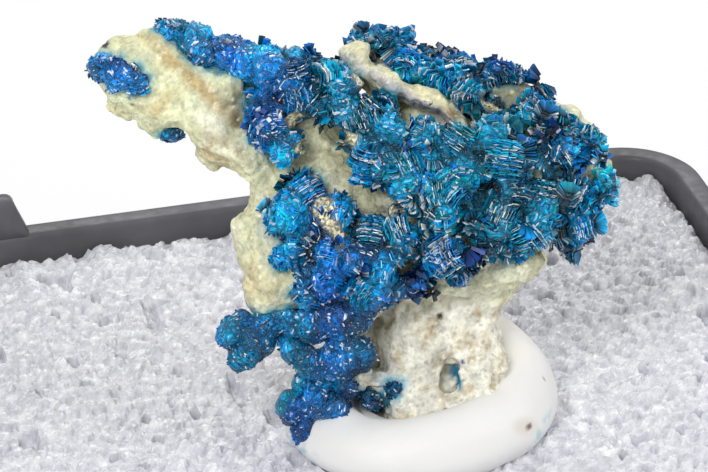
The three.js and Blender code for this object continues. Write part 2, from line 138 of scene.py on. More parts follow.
def srgb(code):
    """A colour written as a six-figure code, as linear values."""
    parts = np.array([int(code[i : i + 2], 16) / 255 for i in (0, 2, 4)])
    return np.where(parts <= 0.04045, parts / 12.92, ((parts + 0.055) / 1.055) ** 2.4)


def grey(value):
    """One value for red, green and blue."""
    return (value, value, value)


print("middle grey is", srgb("808080").round(3))

# %% [markdown]
# Rock, foam and crystals are uneven at many sizes. A Displace modifier with a texture could
# raise them, but numbers that numpy works out can also set colours and choose where crystals
# grow. Two kinds of noise are enough: soft lumps from random values on a lattice, and grains
# from the distance to scattered seeds.

# %% Noise from whole arrays
CELL_FACTORS = (73856093, 19349663, 83492791)
SEED_FACTOR = 2654435761
STIR_FACTOR = 1274126177
LOW_BITS = 0x7FFFFFFF
LEVELS = 100003


def scatter(cells, seed):
    """Three random numbers from 0 to 1 for each whole-number cell, the same each run.

    The cell's numbers are multiplied by large factors and stirred together, so that neighbours
    come out unlike each other."""
    i, j, k = (cells[..., axis].astype(np.int64) * CELL_FACTORS[axis] for axis in range(3))
    mixed = i ^ j ^ k ^ seed * SEED_FACTOR
    numbers = []
    for _ in range(3):
        mixed = (mixed ^ (mixed >> 13)) * STIR_FACTOR & LOW_BITS
        mixed = (mixed ^ (mixed >> 16)) & LOW_BITS
        numbers.append((mixed % LEVELS) / LEVELS)
    return np.stack(numbers, -1)


def lumps(points, size, seed):
    """Noise from -1 to 1: random values at lattice corners, blended smoothly between them."""
    q = points / size
    base = np.floor(q)
    part = q - base
    part = part * part * (3 - 2 * part)
    total = np.zeros(len(points))
    for corner in np.ndindex(2, 2, 2):
        at = np.array(corner)
        share = np.prod(np.where(at == 1, part, 1 - part), axis=1)
        total += share * (2 * scatter(base + at, seed)[:, 0] - 1)
    return total


def rough(points, size, seed, octaves=3):
    """Lumps with smaller lumps on them, each half as big and half as high."""
    return sum(lumps(points, size / 2**n, seed + n) / 2**n for n in range(octaves))


def grains(points, size, seed):
    """Distance to the nearest scattered seed and the next, in sizes, and the nearest's numbers."""
    q = points / size
    base = np.floor(q)
    first = np.full(len(points), 9.0)
    second = np.full(len(points), 9.0)
    owner = np.zeros((len(points), 3))
    for step in np.ndindex(3, 3, 3):
        cell = base + np.array(step) - 1
        numbers = scatter(cell, seed)
        gap = np.linalg.norm(q - cell - 0.1 - 0.8 * numbers, axis=1)
        nearer = gap < first
        second = np.where(nearer, first, np.minimum(second, gap))
        owner[nearer] = numbers[nearer]
        first = np.minimum(first, gap)
    return first, second, owner


print("lumps at the origin:", lumps(np.zeros((1, 3)), 1.0, 0).round(3))

# %% [markdown]
# A finish is a small graph of shader nodes. Each of these helpers adds one node and gives back
# the socket that the next one needs. The textures read object coordinates, so a pattern keeps
# its real size and stays on its piece.

# %% Helpers for the materials


def new_material(name):
    """A material with its shader, its node tree and its object coordinates."""
    material = bpy.data.materials.new(name)
    material.use_nodes = True
    tree = material.node_tree
    shader = tree.nodes["Principled BSDF"]
    place = tree.nodes.new("ShaderNodeTexCoord").outputs["Object"]
    return material, tree, shader, place


def noise(tree, place, size, detail=3.0):
    """A noise texture whose lumps are about size mm."""
    node = tree.nodes.new("ShaderNodeTexNoise")
    tree.links.new(place, node.inputs["Vector"])
    node.inputs["Scale"].default_value = 1 / (size * MM)
    node.inputs["Detail"].default_value = detail
    return node.outputs["Fac"]


def cells(tree, place, size):
    """The random colour of scattered cells about size mm across."""
    node = tree.nodes.new("ShaderNodeTexVoronoi")
    tree.links.new(place, node.inputs["Vector"])
    node.inputs["Scale"].default_value = 1 / (size * MM)
    return node.outputs["Color"]


def ramp(tree, value, stops):
    """Colours or greys between stops, each a place from 0 to 1 and three values."""
    node = tree.nodes.new("ShaderNodeValToRGB")
    tree.links.new(value, node.inputs["Fac"])
    band = node.color_ramp
    while len(band.elements) < len(stops):
        band.elements.new(0.5)
    for element, (where, colour) in zip(band.elements, stops):
        element.position = where
        element.color = (*colour, 1)
    return node.outputs["Color"]


print("a pattern 1 mm wide has a scale of", 1 / MM)

# %% [markdown]
# Colours meet in Mix nodes, whose sockets for colours are picked by number because their names
# are the same as those for plain values. Relief too fine for the mesh goes in as a bump.

# %% Helpers that combine colours
SHARE, FIRST_COLOUR, SECOND_COLOUR, MIXED_COLOUR = 0, 6, 7, 2


def times(tree, one, other):
    """Two colours multiplied."""
    node = tree.nodes.new("ShaderNodeMix")
    node.data_type = "RGBA"
    node.blend_type = "MULTIPLY"
    node.inputs[SHARE].default_value = 1
    tree.links.new(one, node.inputs[FIRST_COLOUR])
    tree.links.new(other, node.inputs[SECOND_COLOUR])
    return node.outputs[MIXED_COLOUR]


def towards(tree, share, one, code):
    """One colour moved towards a plain colour by a share from 0 to 1."""
    node = tree.nodes.new("ShaderNodeMix")
    node.data_type = "RGBA"
    tree.links.new(share, node.inputs[SHARE])
    tree.links.new(one, node.inputs[FIRST_COLOUR])
    node.inputs[SECOND_COLOUR].default_value = (*srgb(code), 1)
    return node.outputs[MIXED_COLOUR]


def tint_of(tree):
    """The colours that numpy worked out for the points."""
    node = tree.nodes.new("ShaderNodeAttribute")
    node.attribute_name = "tint"
    return node.outputs["Color"]


def bump(tree, shader, height, depth):
    """Fine relief, depth mm high."""
    node = tree.nodes.new("ShaderNodeBump")
    node.inputs["Distance"].default_value = depth * MM
    node.inputs["Strength"].default_value = 1
    tree.links.new(height, node.inputs["Height"])
    tree.links.new(node.outputs["Normal"], shader.inputs["Normal"])


print("the two colours go in at", FIRST_COLOUR, "and", SECOND_COLOUR)

# %% [markdown]
# The rock sparkles like sugar. Its colours come point by point from numpy, and the material adds
# what is finer than the mesh: a grain in the colour, a bump, and a gloss that changes from
# one tiny facet to the next.

# %% The rock's finish


def rock_material():
    """Sugary rock: the points' colours, a fine pale grain and a few glassy facets."""
    material, tree, shader, place = new_material("sugary matrix")
    fine = noise(tree, place, 0.17, 6)
    shade = ramp(tree, fine, [(0.3, grey(0.74)), (0.5, grey(1.0)), (0.7, grey(1.16))])
    tree.links.new(times(tree, tint_of(tree), shade), shader.inputs["Base Color"])
    gloss = ramp(tree, cells(tree, place, 0.1), [(0.1, grey(0.12)), (0.3, grey(0.75))])
    tree.links.new(gloss, shader.inputs["Roughness"])
    bump(tree, shader, fine, 0.09)
    return material


ROCK = rock_material()
print(ROCK.name, "has", len(ROCK.node_tree.nodes), "nodes")

# %% [markdown]
# The crystals are deep blue and glassy. Real transparency would be slow on thousands of blades,
# so they stay opaque, with a clear gloss. Free blades have one finish. The crust that they are
# grown into has another, with pale and dark streaks drawn out along the blades' direction:
# painted glints and painted shade on the blades' edges.

# %% The crystals' finishes


def crystal_material():
    """Glassy blades: the points' colours with faint cloudy streaks inside."""
    material, tree, shader, place = new_material("blue crystal")
    cloud = noise(tree, place, 0.25, 3)
    shade = ramp(tree, cloud, [(0.3, grey(0.7)), (0.7, grey(1.3))])
    tree.links.new(times(tree, tint_of(tree), shade), shader.inputs["Base Color"])
    shader.inputs["Roughness"].default_value = 0.16
    shader.inputs["Specular IOR Level"].default_value = 0.4
    return material


def crust_material():
    """Grown-together blades: the points' colours with fine streaks of painted glints and painted shade,
    and relief.

    The streaks are noise in the piece's own streak space, which is squeezed across the blades."""
    material, tree, shader, _ = new_material("streaked blue crystal")
    space = tree.nodes.new("ShaderNodeAttribute")
    space.attribute_name = "streaks"
    fine = noise(tree, space.outputs["Vector"], 1 / MM, 2)
    wide = noise(tree, space.outputs["Vector"], 1.7 / MM, 3)
    # Dark and bright streaks: painted shade and painted highlights along the blades' edges.
    shade = ramp(tree, fine, [(0.34, grey(0.3)), (0.5, grey(0.95)), (0.64, grey(1.7))])
    # The palest streaks are mixed towards near white: painted glints.
    pale = ramp(tree, wide, [(0.6, grey(0.0)), (0.67, grey(0.95))])
    colour = towards(tree, pale, times(tree, tint_of(tree), shade), "f4fcff")
    tree.links.new(colour, shader.inputs["Base Color"])
    shader.inputs["Roughness"].default_value = 0.2
    shader.inputs["Specular IOR Level"].default_value = 0.3
    bump(tree, shader, fine, 0.07)
    return material


CRYSTAL = crystal_material()
CRUST = crust_material()
print(CRYSTAL.name, "and", CRUST.name)

# %% [markdown]
# The foam and the putty let light in a little way, which softens their shadows, so both have
# some subsurface scattering. The box's plastic lets none in: it is dark, with a faint mottle in
# the colour and fine scuffs in the gloss.

# %% The finishes of foam, putty and box


def foam_material():
    """Expanded foam: pale lavender cells with glossy skins."""
    material, tree, shader, place = new_material("expanded foam")
    cloud = noise(tree, place, 0.5, 4)
    pale = [(0.3, srgb("c6c6ce")), (0.55, srgb("dfdfe5")), (0.75, srgb("f6f6f8"))]
    tree.links.new(ramp(tree, cloud, pale), shader.inputs["Base Color"])
    shader.inputs["Roughness"].default_value = 0.22
    shader.inputs["Subsurface Weight"].default_value = 0.3
    shader.inputs["Subsurface Radius"].default_value = (1, 1, 1)
    shader.inputs["Subsurface Scale"].default_value = 0.3 * MM
    bump(tree, shader, noise(tree, place, 0.14, 3), 0.04)
    return material


def putty_material():
    """White putty: the points' colours, soft and slightly waxy."""
    material, tree, shader, place = new_material("white putty")
    tree.links.new(tint_of(tree), shader.inputs["Base Color"])
    shader.inputs["Roughness"].default_value = 0.5
    shader.inputs["Subsurface Weight"].default_value = 0.2
    shader.inputs["Subsurface Radius"].default_value = (1, 0.9, 0.8)
    shader.inputs["Subsurface Scale"].default_value = 0.5 * MM
    bump(tree, shader, noise(tree, place, 0.9, 3), 0.05)
    return material


def tray_material():
    """Dark grey moulded plastic with a faint mottle and fine scuffs."""
    material, tree, shader, place = new_material("dark box plastic")
    cloud = noise(tree, place, 2.5, 4)
    dark = [(0.35, srgb("565659")), (0.65, srgb("636368"))]
    tree.links.new(ramp(tree, cloud, dark), shader.inputs["Base Color"])
    shader.inputs["Specular IOR Level"].default_value = 0.2
    scuff = noise(tree, place, 0.35, 5)
    gloss = ramp(tree, scuff, [(0.35, grey(0.3)), (0.65, grey(0.5))])
    tree.links.new(gloss, shader.inputs["Roughness"])
    bump(tree, shader, scuff, 0.01)
    return material


FOAM = foam_material()
PUTTY = putty_material()
TRAY = tray_material()
print(FOAM.name, "and", PUTTY.name, "and", TRAY.name)

# %% [markdown]
# The box base is a plastic moulding with soft edges. A cube with a Bevel modifier would come
# close, but its corners and its rim need different radii. So the wall's section is drawn once,
# from the middle of the underside round the rim to the middle of the floor, and carried round
# the box's rounded outline, and every edge gets its own small radius.

# %% The box's outline and its wall's section
BOX_HALF = 16.65
BOX_CORNER = 3.2
BOX_WALL = 1.0
BOX_FLOOR = 1.2
RIM_TOP = 10.0
SIDE_STEPS = 14
CORNER_STEPS = 14


def box_path():
    """Points round a rounded square as the corner's centre and the direction outwards there.

    Each corner is a quarter circle, and each side runs straight to the next corner's centre."""
    centre = BOX_HALF - BOX_CORNER
    corners = np.array([[1, 1], [-1, 1], [-1, -1], [1, -1]]) * centre
    middles, outwards = [], []
    for index, corner in enumerate(corners):
        angle = (index + np.linspace(0, 1, CORNER_STEPS)) * math.pi / 2
        middles.append(np.repeat(corner[None], CORNER_STEPS, 0))
        outwards.append(np.stack([np.cos(angle), np.sin(angle)], 1))
        share = np.linspace(0, 1, SIDE_STEPS + 2)[1:-1, None]
        following = corners[(index + 1) % 4]
        middles.append(corner * (1 - share) + following * share)
        outwards.append(np.repeat(outwards[-1][-1:], SIDE_STEPS, 0))
    return np.concatenate(middles), np.concatenate(outwards)


def arc(centre, radius, start, end, steps=5):
    """Points on a circle's arc, with its angles in degrees."""
    angle = np.radians(np.linspace(start, end, steps))
    return np.stack([centre[0] + radius * np.cos(angle), centre[1] + radius * np.sin(angle)], 1)


def tray_section():
    """The wall's section as (distance inwards from the outer face, height): four small arcs.

    They round the foot, the rim's outer and inner edge, and the corner where the floor starts."""
    foot, lip, fillet = 0.5, 0.22, 0.4
    parts = [
        arc((foot, foot), foot, 270, 180),
        arc((lip, RIM_TOP - lip), lip, 180, 90),
        arc((BOX_WALL - lip, RIM_TOP - lip), lip, 90, 0),
        arc((BOX_WALL + fillet, BOX_FLOOR + fillet), fillet, 180, 270),
    ]
    return np.concatenate(parts)


section = tray_section()
print("the wall's section has", len(section), "points")

# %% [markdown]
# A section carried along an outline is a grid: one row for each step round the box, one column
# for each point of the section. Squares between neighbours make the faces. The ends of such a
# sheet are rings, and a ring is closed by squares that all meet in its middle.

# %% Grids, caps and joined parts


def carried(section, middles, outwards, corner):
    """Each section point is set inwards from the outline by its first value and up by its second."""
    reach = corner - section[:, 0]
    flat = middles[:, None] + outwards[:, None] * reach[None, :, None]
    height = np.broadcast_to(section[:, 1], flat.shape[:2])[..., None]
    return np.concatenate([flat, height], 2)


def grid_faces(rows, columns, wrap_rows=True):
    """The squares between rows * columns points, closing round if wrap_rows is set."""
    row = np.arange(rows if wrap_rows else rows - 1)[:, None]
    column = np.arange(columns - 1)[None]
    here = row * columns + column
    there = (row + 1) % rows * columns + column
    return np.stack([here, there, there + 1, here + 1], -1).reshape(-1, 4)


def cap(points, ring, centre, upward):
    """Squares from a ring of points to its middle: each spans two steps of the ring."""
    middle = len(points)
    first, second, third = ring, np.roll(ring, -1), np.roll(ring, -2)
    quads = np.stack([first, second, third, np.full(len(ring), middle)], 1)[::2]
    return np.concatenate([points, [centre]]), quads if upward else quads[:, ::-1]


def joined(parts):
    """Several sets of points and faces as one."""
    points, faces, offset = [], [], 0
    for some, squares in parts:
        points.append(some)
        faces.append(squares + offset)
        offset += len(some)
    return np.concatenate(points), np.concatenate(faces)


print("the box's outline has", len(box_path()[0]), "steps")

# %% [markdown]
# Two hinge ears stand on the back rim, where the lid once clipped on. Each is a flat tab with a
# slanted side and round shoulders. Its outline is repeated four times through the wall, a
# little smaller at both faces, which rounds its edges.

# %% The hinge ears
EAR_HALF = 0.9
EAR_SLANT = 0.5
EAR_HEIGHT = 1.55
EAR_ROUND = 0.4
EAR_SUNK = 0.3
EAR_EDGE = 0.1
EAR_INSET = 0.05
LEFT_EAR = -11.65
RIGHT_EAR = 11.05


def ear_outline(mirror):
    """An ear seen from behind: a slanted side, two round shoulders and an upright side."""
    shoulder = EAR_HEIGHT - EAR_ROUND
    corners = [
        [-EAR_HALF, -EAR_SUNK], [EAR_HALF, -EAR_SUNK],
        [EAR_HALF - EAR_INSET, EAR_EDGE], [EAR_HALF - EAR_SLANT, shoulder],
    ]
    crown = arc((EAR_HALF - EAR_SLANT - EAR_ROUND, shoulder), EAR_ROUND, 0, 90, 5)
    back = arc((-EAR_HALF + EAR_ROUND, shoulder), EAR_ROUND, 90, 180, 4)
    outline = np.concatenate([np.array(corners), crown[1:], back])
    outline[:, 0] *= mirror
    return outline if mirror > 0 else outline[::-1]


def hinge_ear(x, mirror):
    """An ear at x: its outline at four places through the wall, closed at both faces."""
    outline = ear_outline(mirror)
    count = len(outline)
    outer = BOX_HALF - EAR_INSET
    inner = outer - BOX_WALL + EAR_EDGE
    rings = []
    for share, y in [(0.9, outer), (1, outer - EAR_EDGE), (1, inner + EAR_EDGE), (0.9, inner)]:
        lower = np.where(outline[:, 1] > 1, outline[:, 1] - 1.5 * (1 - share), outline[:, 1])
        rings.append(np.column_stack([outline[:, 0] * share, np.full(count, y), lower]))
    points = np.concatenate(rings) + [x, 0, RIM_TOP]
    here = (np.arange(3)[:, None] * count + np.arange(count)).ravel()
    following = (np.arange(3)[:, None] * count + (np.arange(count) + 1) % count).ravel()
    body = np.stack([here, here + count, following + count, following], 1)
    points, outside = cap(points, np.arange(count), [x, outer, RIM_TOP + 0.5], True)
    points, inside = cap(points, 3 * count + np.arange(count), [x, inner, RIM_TOP + 0.5], False)
    return points, np.concatenate([body, outside, inside])


ears = [hinge_ear(LEFT_EAR, 1), hinge_ear(RIGHT_EAR, -1)]
print("an ear has", len(ears[0][0]), "points")

# %% [markdown]
# The tray is the carried section, closed by a cap under the box and one on its floor. The ears
# are part of the same moulding, so all three go into one piece, and it takes the place of the
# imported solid.

# %% The tray


def tray():
    """The wall's section carried round the box, with the underside and the floor closed."""
    middles, outwards = box_path()
    shell = carried(section, middles, outwards, BOX_CORNER)
    rows, columns = shell.shape[:2]
    points = shell.reshape(-1, 3)
    faces = grid_faces(rows, columns)
    ring = np.arange(rows) * columns
    points, under = cap(points, ring, [0, 0, 0], False)
    points, floor = cap(points, ring + columns - 1, [0, 0, BOX_FLOOR], True)
    return points, np.concatenate([faces, under, floor])


box_base = piece("tray", *joined([tray(), *ears]), TRAY, "box_plastic")
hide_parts("box_base")

# %% [markdown]
# The foam is a block of expanded polymer that was cut with a knife, so its top is a field of
# torn cells, each a small tilted facet. A bump map would look flat from the low camera, so the
# cells are real relief. The height of every point is that of its cell: a random level, a
# random tilt and a slight dome, with finer cells on top.

# %% The foam's torn top
FOAM_TOP = 9.1
FOAM_LOW = 1.3
FOAM_HALF = 15.57
FOAM_STEPS = 296
CELL = 0.5
FINE_CELL = 0.21
DEEPEST = -0.24  # how far a torn cell reaches down


def cell_heights(points, size, seed):
    """A level, a tilt and a dome for each scattered cell, in sizes."""
    first, _, owner = grains(points, size, seed)
    lean = (owner[:, 1] - 0.5) * np.sin(points[:, 0] / size * 2.1 + owner[:, 2] * 6)
    return 0.5 * (owner[:, 0] - 0.5) + 0.35 * lean - 0.55 * first**2


def foam_top():
    """A square sheet: x and y on a grid drawn in at the corners, z from the cells."""
    across = np.linspace(-1, 1, FOAM_STEPS)
    x, y = np.meshgrid(across, across, indexing="ij")
    corner = np.abs(x * y) ** 14
    flat = np.stack([x, y], -1) * (FOAM_HALF - 0.65 * corner[..., None])
    ground = np.concatenate([flat, np.zeros((*x.shape, 1))], 2).reshape(-1, 3)
    height = 0.45 * cell_heights(ground, CELL, 11) + 0.15 * cell_heights(ground, FINE_CELL, 12)
    height = np.maximum(height, DEEPEST) + 0.15 * rough(ground, 2.5, 13, 2)
    edge = FOAM_HALF - np.abs(ground[:, :2]).max(1)
    ragged = np.clip(edge / (0.35 + 0.5 * lumps(ground, 0.9, 14)), 0, 1)
    ground[:, 2] = FOAM_TOP + 0.12 + height - 0.45 * (1 - ragged) ** 1.5
    return ground


foam_sheet = foam_top()
print("the foam's top lies at", foam_sheet[:, 2].min().round(2), "to", foam_sheet[:, 2].max().round(2))

# %% [markdown]
# A sheet isn't a solid. The sheet's rim is carried straight down to the floor of the box and
# closed there, so the block is shut on every side, like the real one.

# %% The foam block


def foam_block(top):
    """The top sheet, with its rim carried down to the underside and closed there."""
    n = FOAM_STEPS
    number = np.arange(n * n).reshape(n, n)
    faces = grid_faces(n, n, wrap_rows=False)
    ring = np.concatenate([number[:-1, 0], number[-1, :-1], number[:0:-1, -1], number[0, :0:-1]])
    low = top[ring] * [1, 1, 0] + [0, 0, FOAM_LOW]
    below = len(top) + np.arange(len(ring))
    following = np.roll(np.arange(len(ring)), -1)
    side = np.stack([ring[following], ring, below, below[following]], 1)
    points = np.concatenate([top, low])
    points, under = cap(points, below, [0, 0, FOAM_LOW], False)
    return points, np.concatenate([faces, side, under])


foam = piece("foam", *foam_block(foam_sheet), FOAM, "foam", smooth=False)
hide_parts("foam_insert")

# %% [markdown]
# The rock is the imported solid's own form with nature's roughness on it. A merged copy of the
# solid is turned into an even skin of small squares, its facets are melted away by averaging
# each point with its neighbours, and the noises then raise lumps, grain and pits.

# %% A fine skin over solids


def skin_of(names, spacing, rounds):
    """The named solids' joint surface as squares about spacing mm wide.

    Each round of melting moves every point halfway to the average of its neighbours."""
    sheet = bmesh.new()
    for name in names:
        sheet.from_mesh(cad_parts[name].data)
    bmesh.ops.remove_doubles(sheet, verts=sheet.verts, dist=1e-7)
    sheet.transform(Matrix.Scale(1 / MM, 4))
    mesh = bpy.data.meshes.new("merged copy")
    sheet.to_mesh(mesh)
    sheet.free()
    merged = bpy.data.objects.new("merged copy", mesh)
    bpy.context.scene.collection.objects.link(merged)
    remesh = merged.modifiers.new("skin", "REMESH")
    remesh.mode = "VOXEL"
    remesh.voxel_size = spacing
    skin = merged.evaluated_get(bpy.context.evaluated_depsgraph_get()).to_mesh()
    points = np.empty(len(skin.vertices) * 3)
    skin.vertices.foreach_get("co", points)
    corners = np.empty(len(skin.loops), np.int32)
    skin.loops.foreach_get("vertex_index", corners)
    edges = np.empty(len(skin.edges) * 2, np.int32)
    skin.edges.foreach_get("vertices", edges)
    bpy.data.objects.remove(merged)
    points, faces, edges = points.reshape(-1, 3), corners.reshape(-1, 4), edges.reshape(-1, 2)
    for _ in range(rounds):
        points = 0.5 * points + 0.5 * neighbour_mean(points, edges)
    return points, faces


def neighbour_mean(values, edges):
    """The average of each point's neighbours along the edges."""
    start = np.concatenate([edges[:, 0], edges[:, 1]])
    end = np.concatenate([edges[:, 1], edges[:, 0]])
    count = np.bincount(start, minlength=len(values))[:, None]
    total = [np.bincount(start, values[end, axis], len(values)) for axis in range(values.shape[1])]
    return np.stack(total, 1) / np.maximum(count, 1)


def normals_of(points, faces):
    """Each point's outward direction: the cross product of each square's diagonals, added up."""
    first, second, third, fourth = (points[faces[:, corner]] for corner in range(4))
    across = np.repeat(np.cross(third - first, fourth - second), 4, 0)
    total = [np.bincount(faces.ravel(), across[:, axis], len(points)) for axis in range(3)]
    total = np.stack(total, 1)
    return total / np.maximum(np.linalg.norm(total, axis=1, keepdims=True), 1e-12)


ROCK_SPACING = 0.105
rock_points, rock_faces = skin_of(["matrix"], ROCK_SPACING, 5)
rock_out = normals_of(rock_points, rock_faces)
rock_show = show_of(rock_points)
print("the rock's skin has", len(rock_points), "points")

# %% [markdown]
# Stains, veins and crystal patches could be painted by hand on a picture, but a picture would
# have to be unwrapped onto the rock. Instead each is a soft-edged ellipse in the sight frame: a
# centre, two half widths and a turn, all in millimetres and degrees. The result is a weight
# from 0 to 1 that can mix in a colour or switch crystals on and off.

# %% Soft-edged patches


def patch(show, u, v, long, wide, tilt=0.0, soft=0.35):
    """1 inside an ellipse in the sight frame, 0 outside, with a soft edge."""
    c, s = math.cos(math.radians(tilt)), math.sin(math.radians(tilt))
    x, y = show[0] - u, show[1] - v
    gap = np.hypot((x * c + y * s) / long, (y * c - x * s) / wide)
    return np.clip((1 + soft / 2 - gap) / soft, 0, 1)


def any_patch(show, ellipses, soft=0.35):
    """The highest weight of several ellipses."""
    return np.max([patch(show, *ellipse, soft=soft) for ellipse in ellipses], axis=0)


def mixed(colours, weight, code):
    """The colours moved towards one more colour by the weight of each point."""
    return colours + weight[:, None] * (srgb(code) - colours)


print("points under the lavender band:", int((patch(rock_show, 2.1, 5.1, 2.9, 0.26, -32) > 0.5).sum()))

# %% [markdown]
# The matrix is a lump of sugary quartz and clay. Its surface has relief at three sizes: swells,
# small knobs and single grains. The foot is clay and porous, so it gets pits as well. Every
# point moves out or in along its own direction by the sum of these.

# %% The rock's relief


def rock_relief(points, show, out):
    """How far each point rises: lumps of 1.3 and 0.5 mm, sugary grains, and pits in the foot.

    The pale ridge's peak is raised, and the rock is lowered under the crust's thin right edge.
    Returns each point's grain numbers and its share in the foot too."""
    foot = np.clip((-1.9 - show[1]) / 1.0, 0, 1) * np.clip((show[0] + 0.5) / 1.0, 0, 1)
    rise = 0.13 * rough(points, 1.3, 21, 2) + 0.06 * rough(points, 0.5, 22, 2)
    near, _, owner = grains(points, 0.34, 23)
    rise += 0.1 * (owner[:, 0] - 0.5) - 0.12 * near**2
    hollow = np.clip(lumps(points, 0.42, 24) - 0.2, 0, 1)
    under = 0.5 * patch(show, 8.9, 2.4, 1.3, 0.8) + 0.4 * patch(show, 6.3, 3.9, 0.7, 0.5)
    rise += 0.35 * patch(show, -0.05, 6.95, 0.55, 0.5) - under * (out @ AWAY < 0)
    return rise - 0.5 * hollow * np.clip(foot + 0.25, 0, 1), owner, foot


rise, rock_grain, rock_foot = rock_relief(rock_points, rock_show, rock_out)
rock_points = rock_points + rise[:, None] * rock_out
print("the rock moves by", rise.min().round(2), "to", rise.max().round(2), "mm")

# %% [markdown]
# The rock's ground colour is cream: greener on the arm, whiter in the foot, with broad tan and
# white clouds. Each is mixed in by a weight for every point, worked out from the noises above.

# %% The rock's ground colour


def rock_ground(points, show, foot):
    """Cream mixed with the greenish arm, tan and white clouds, and the whitish mottled foot."""
    broad = rough(points, 1.6, 31, 3)
    arm = np.clip((show[1] - 1.5) / 2, 0, 1) * np.clip((-3.0 - show[0]) / 1.5, 0, 1)
    mottle = np.clip(1.8 * rough(points, 0.45, 32, 3) - 0.35, 0, 1)
    colours = np.tile(srgb("e0e0bb"), (len(points), 1))
    colours = mixed(colours, 0.7 * arm, "eaf0c4")
    colours = mixed(colours, np.clip(broad, 0, 1) * 0.55, "d6bf8c")
    colours = mixed(colours, np.clip(-broad - 0.1, 0, 1) * 0.6, "f4f3e6")
    colours = mixed(colours, 0.75 * foot, "faf7ec")
    colours = mixed(colours, mottle * 0.7 * foot, "c0aa7c")
    return mixed(colours, np.clip(lumps(points, 1.2, 36), 0, 1) * 0.5 * foot, "e2e6e6")


rock_colours = rock_ground(rock_points, rock_show, rock_foot)
print("the ground colour's mean is", rock_colours.mean(0).round(2))

# %% [markdown]
# Single marks lie on the ground colour, and they stay where they are on the real rock: the tan
# vein and the yellow and brown stains on the arm, rusty and black specks, and a sliver of teal in
# the foot's pit. Three marks are painted shade: an olive-brown shadow on the arm, the lavender
# band of shade under the ridge, and the brownish-grey shadow in the foot's pit. A mark is one row
# of numbers. A broken mark has gaps, as stains in rough rock do.

# %% The rock's stains, specks and painted shade
SOLID_MARKS = [
    ("8a7a4c", 0.8, (5.59, 5.22, 1.0, 0.45, 25, 0.8)),
    # The lavender-grey band is painted shade on the lower side of the pale ridge.
    ("b9b4bb", 0.8, (2.1, 5.1, 2.9, 0.26, -32, 0.7)),
    ("8b6238", 0.8, (3.7, 4.55, 0.3, 0.2, -32, 0.8)),
    ("3a2210", 0.95, (-9.32, 7.19, 0.17, 0.17, 0, 0.5)),
    ("1a1712", 1.0, (3.21, -2.98, 0.11, 0.11, 0, 0.5)),
    ("3d4a9a", 1.0, (4.06, -4.7, 0.08, 0.08, 0, 0.5)),
    ("6a3a1a", 1.0, (3.43, -6.52, 0.1, 0.1, 0, 0.5)),
]
BROKEN_MARKS = [
    ("dca63c", 0.7, (-7.27, 4.75, 0.2, 0.45, -20, 1.6)),
    # The olive-brown mark is a painted shadow on the arm, not a stain.
    ("5f5536", 0.85, (-4.3, 4.7, 0.55, 1.3, 8, 1.2)),
]
# Painted shadow in the hollow of the foot's pit, brownish grey.
PAINTED_PIT_SHADOW = ("8a8064", 0.75, (3.35, -5.2, 0.45, 0.85, 15, 0.8))
LOW_MARKS = [
    ("14789c", 1.0, (3.8, -5.3, 0.5, 0.16, -70, 0.6)),
    ("6b5a3a", 0.8, (5.15, -6.15, 1.0, 0.08, 47, 1.0)),
]


def marked(colours, show, marks, broken=1.0):
    """The colours with each mark mixed in by its strength times its ellipse's weight."""
    for code, strength, ellipse in marks:
        colours = mixed(colours, strength * patch(show, *ellipse) * broken, code)
    return colours


def stained_and_shaded_rock(colours, points, show):
    """The tan vein on the arm first, then every mark in the order of the lists, painted shade among
    them.
    """
    broken = np.clip(0.7 + 0.9 * rough(points, 0.45, 34, 2), 0.1, 1)
    vein = patch(show, -6.1, 5.9, 2.9, 0.3, -43.6, 1.2) + patch(show, -5.2, 3.2, 1.0, 0.5, -25, 1.4)
    colours = mixed(colours, 0.75 * np.clip(vein, 0, 1) * broken, "c4a263")
    colours = marked(colours, show, BROKEN_MARKS, broken)
    colours = marked(colours, show, SOLID_MARKS)
    colours = marked(colours, show, [PAINTED_PIT_SHADOW], broken)
    return marked(colours, show, LOW_MARKS)


rock_colours = stained_and_shaded_rock(rock_colours, rock_points, rock_show)
print(len(SOLID_MARKS) + len(BROKEN_MARKS) + len(LOW_MARKS) + 2, "marks on the rock")

# %% [markdown]
# Last come the grains. Dark dots are scattered over the arm's underside and the foot, pale sugar
# crystals over everything, and each grain of the relief is a little lighter or darker than
# the next, which makes the rock glitter.

# %% The rock's grains


def grained(colours, points, show, owner, foot):
    """Dark dots at one set of scattered seeds, pale ones at another, then each grain's shade."""
    near, _, numbers = grains(points, 0.33, 33)
    speckled = patch(show, -8.4, 5.0, 1.2, 0.6, -25, 0.6) + 0.5 * foot
    dots = (near < 0.22) * (numbers[:, 1] < 0.5) * np.clip(speckled, 0, 1)
    colours = mixed(colours, 0.85 * dots, "3a2a18")
    near, _, numbers = grains(points, 0.2, 35)
    sugar = (near < 0.36) * (numbers[:, 2] > 0.7) * 0.7
    colours = mixed(colours, sugar, "fbf7e0")
    return colours * (0.82 + 0.36 * owner[:, 1:2])


rock_colours = grained(rock_colours, rock_points, rock_show, rock_grain, rock_foot)
print("the rock's mean colour is", rock_colours.mean(0).round(2))

# %% [markdown]
# Veszelyite grows as sheaves of thin blades. Modelling each blade of the crust would take
# millions of faces, so the crust has two layers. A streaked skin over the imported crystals, in
# their own colours, is the grown-together part, and free blades stand on it in lumps. The lumps
# are set out at random but never closer than a chosen spacing, as real ones crowd each other
# out. Two distances help to place them: to other points, and below the rock's skin.

# %% Where the lumps of crystal sit
MOST_TRIED = 6000  # how many random points are tried as places for lumps


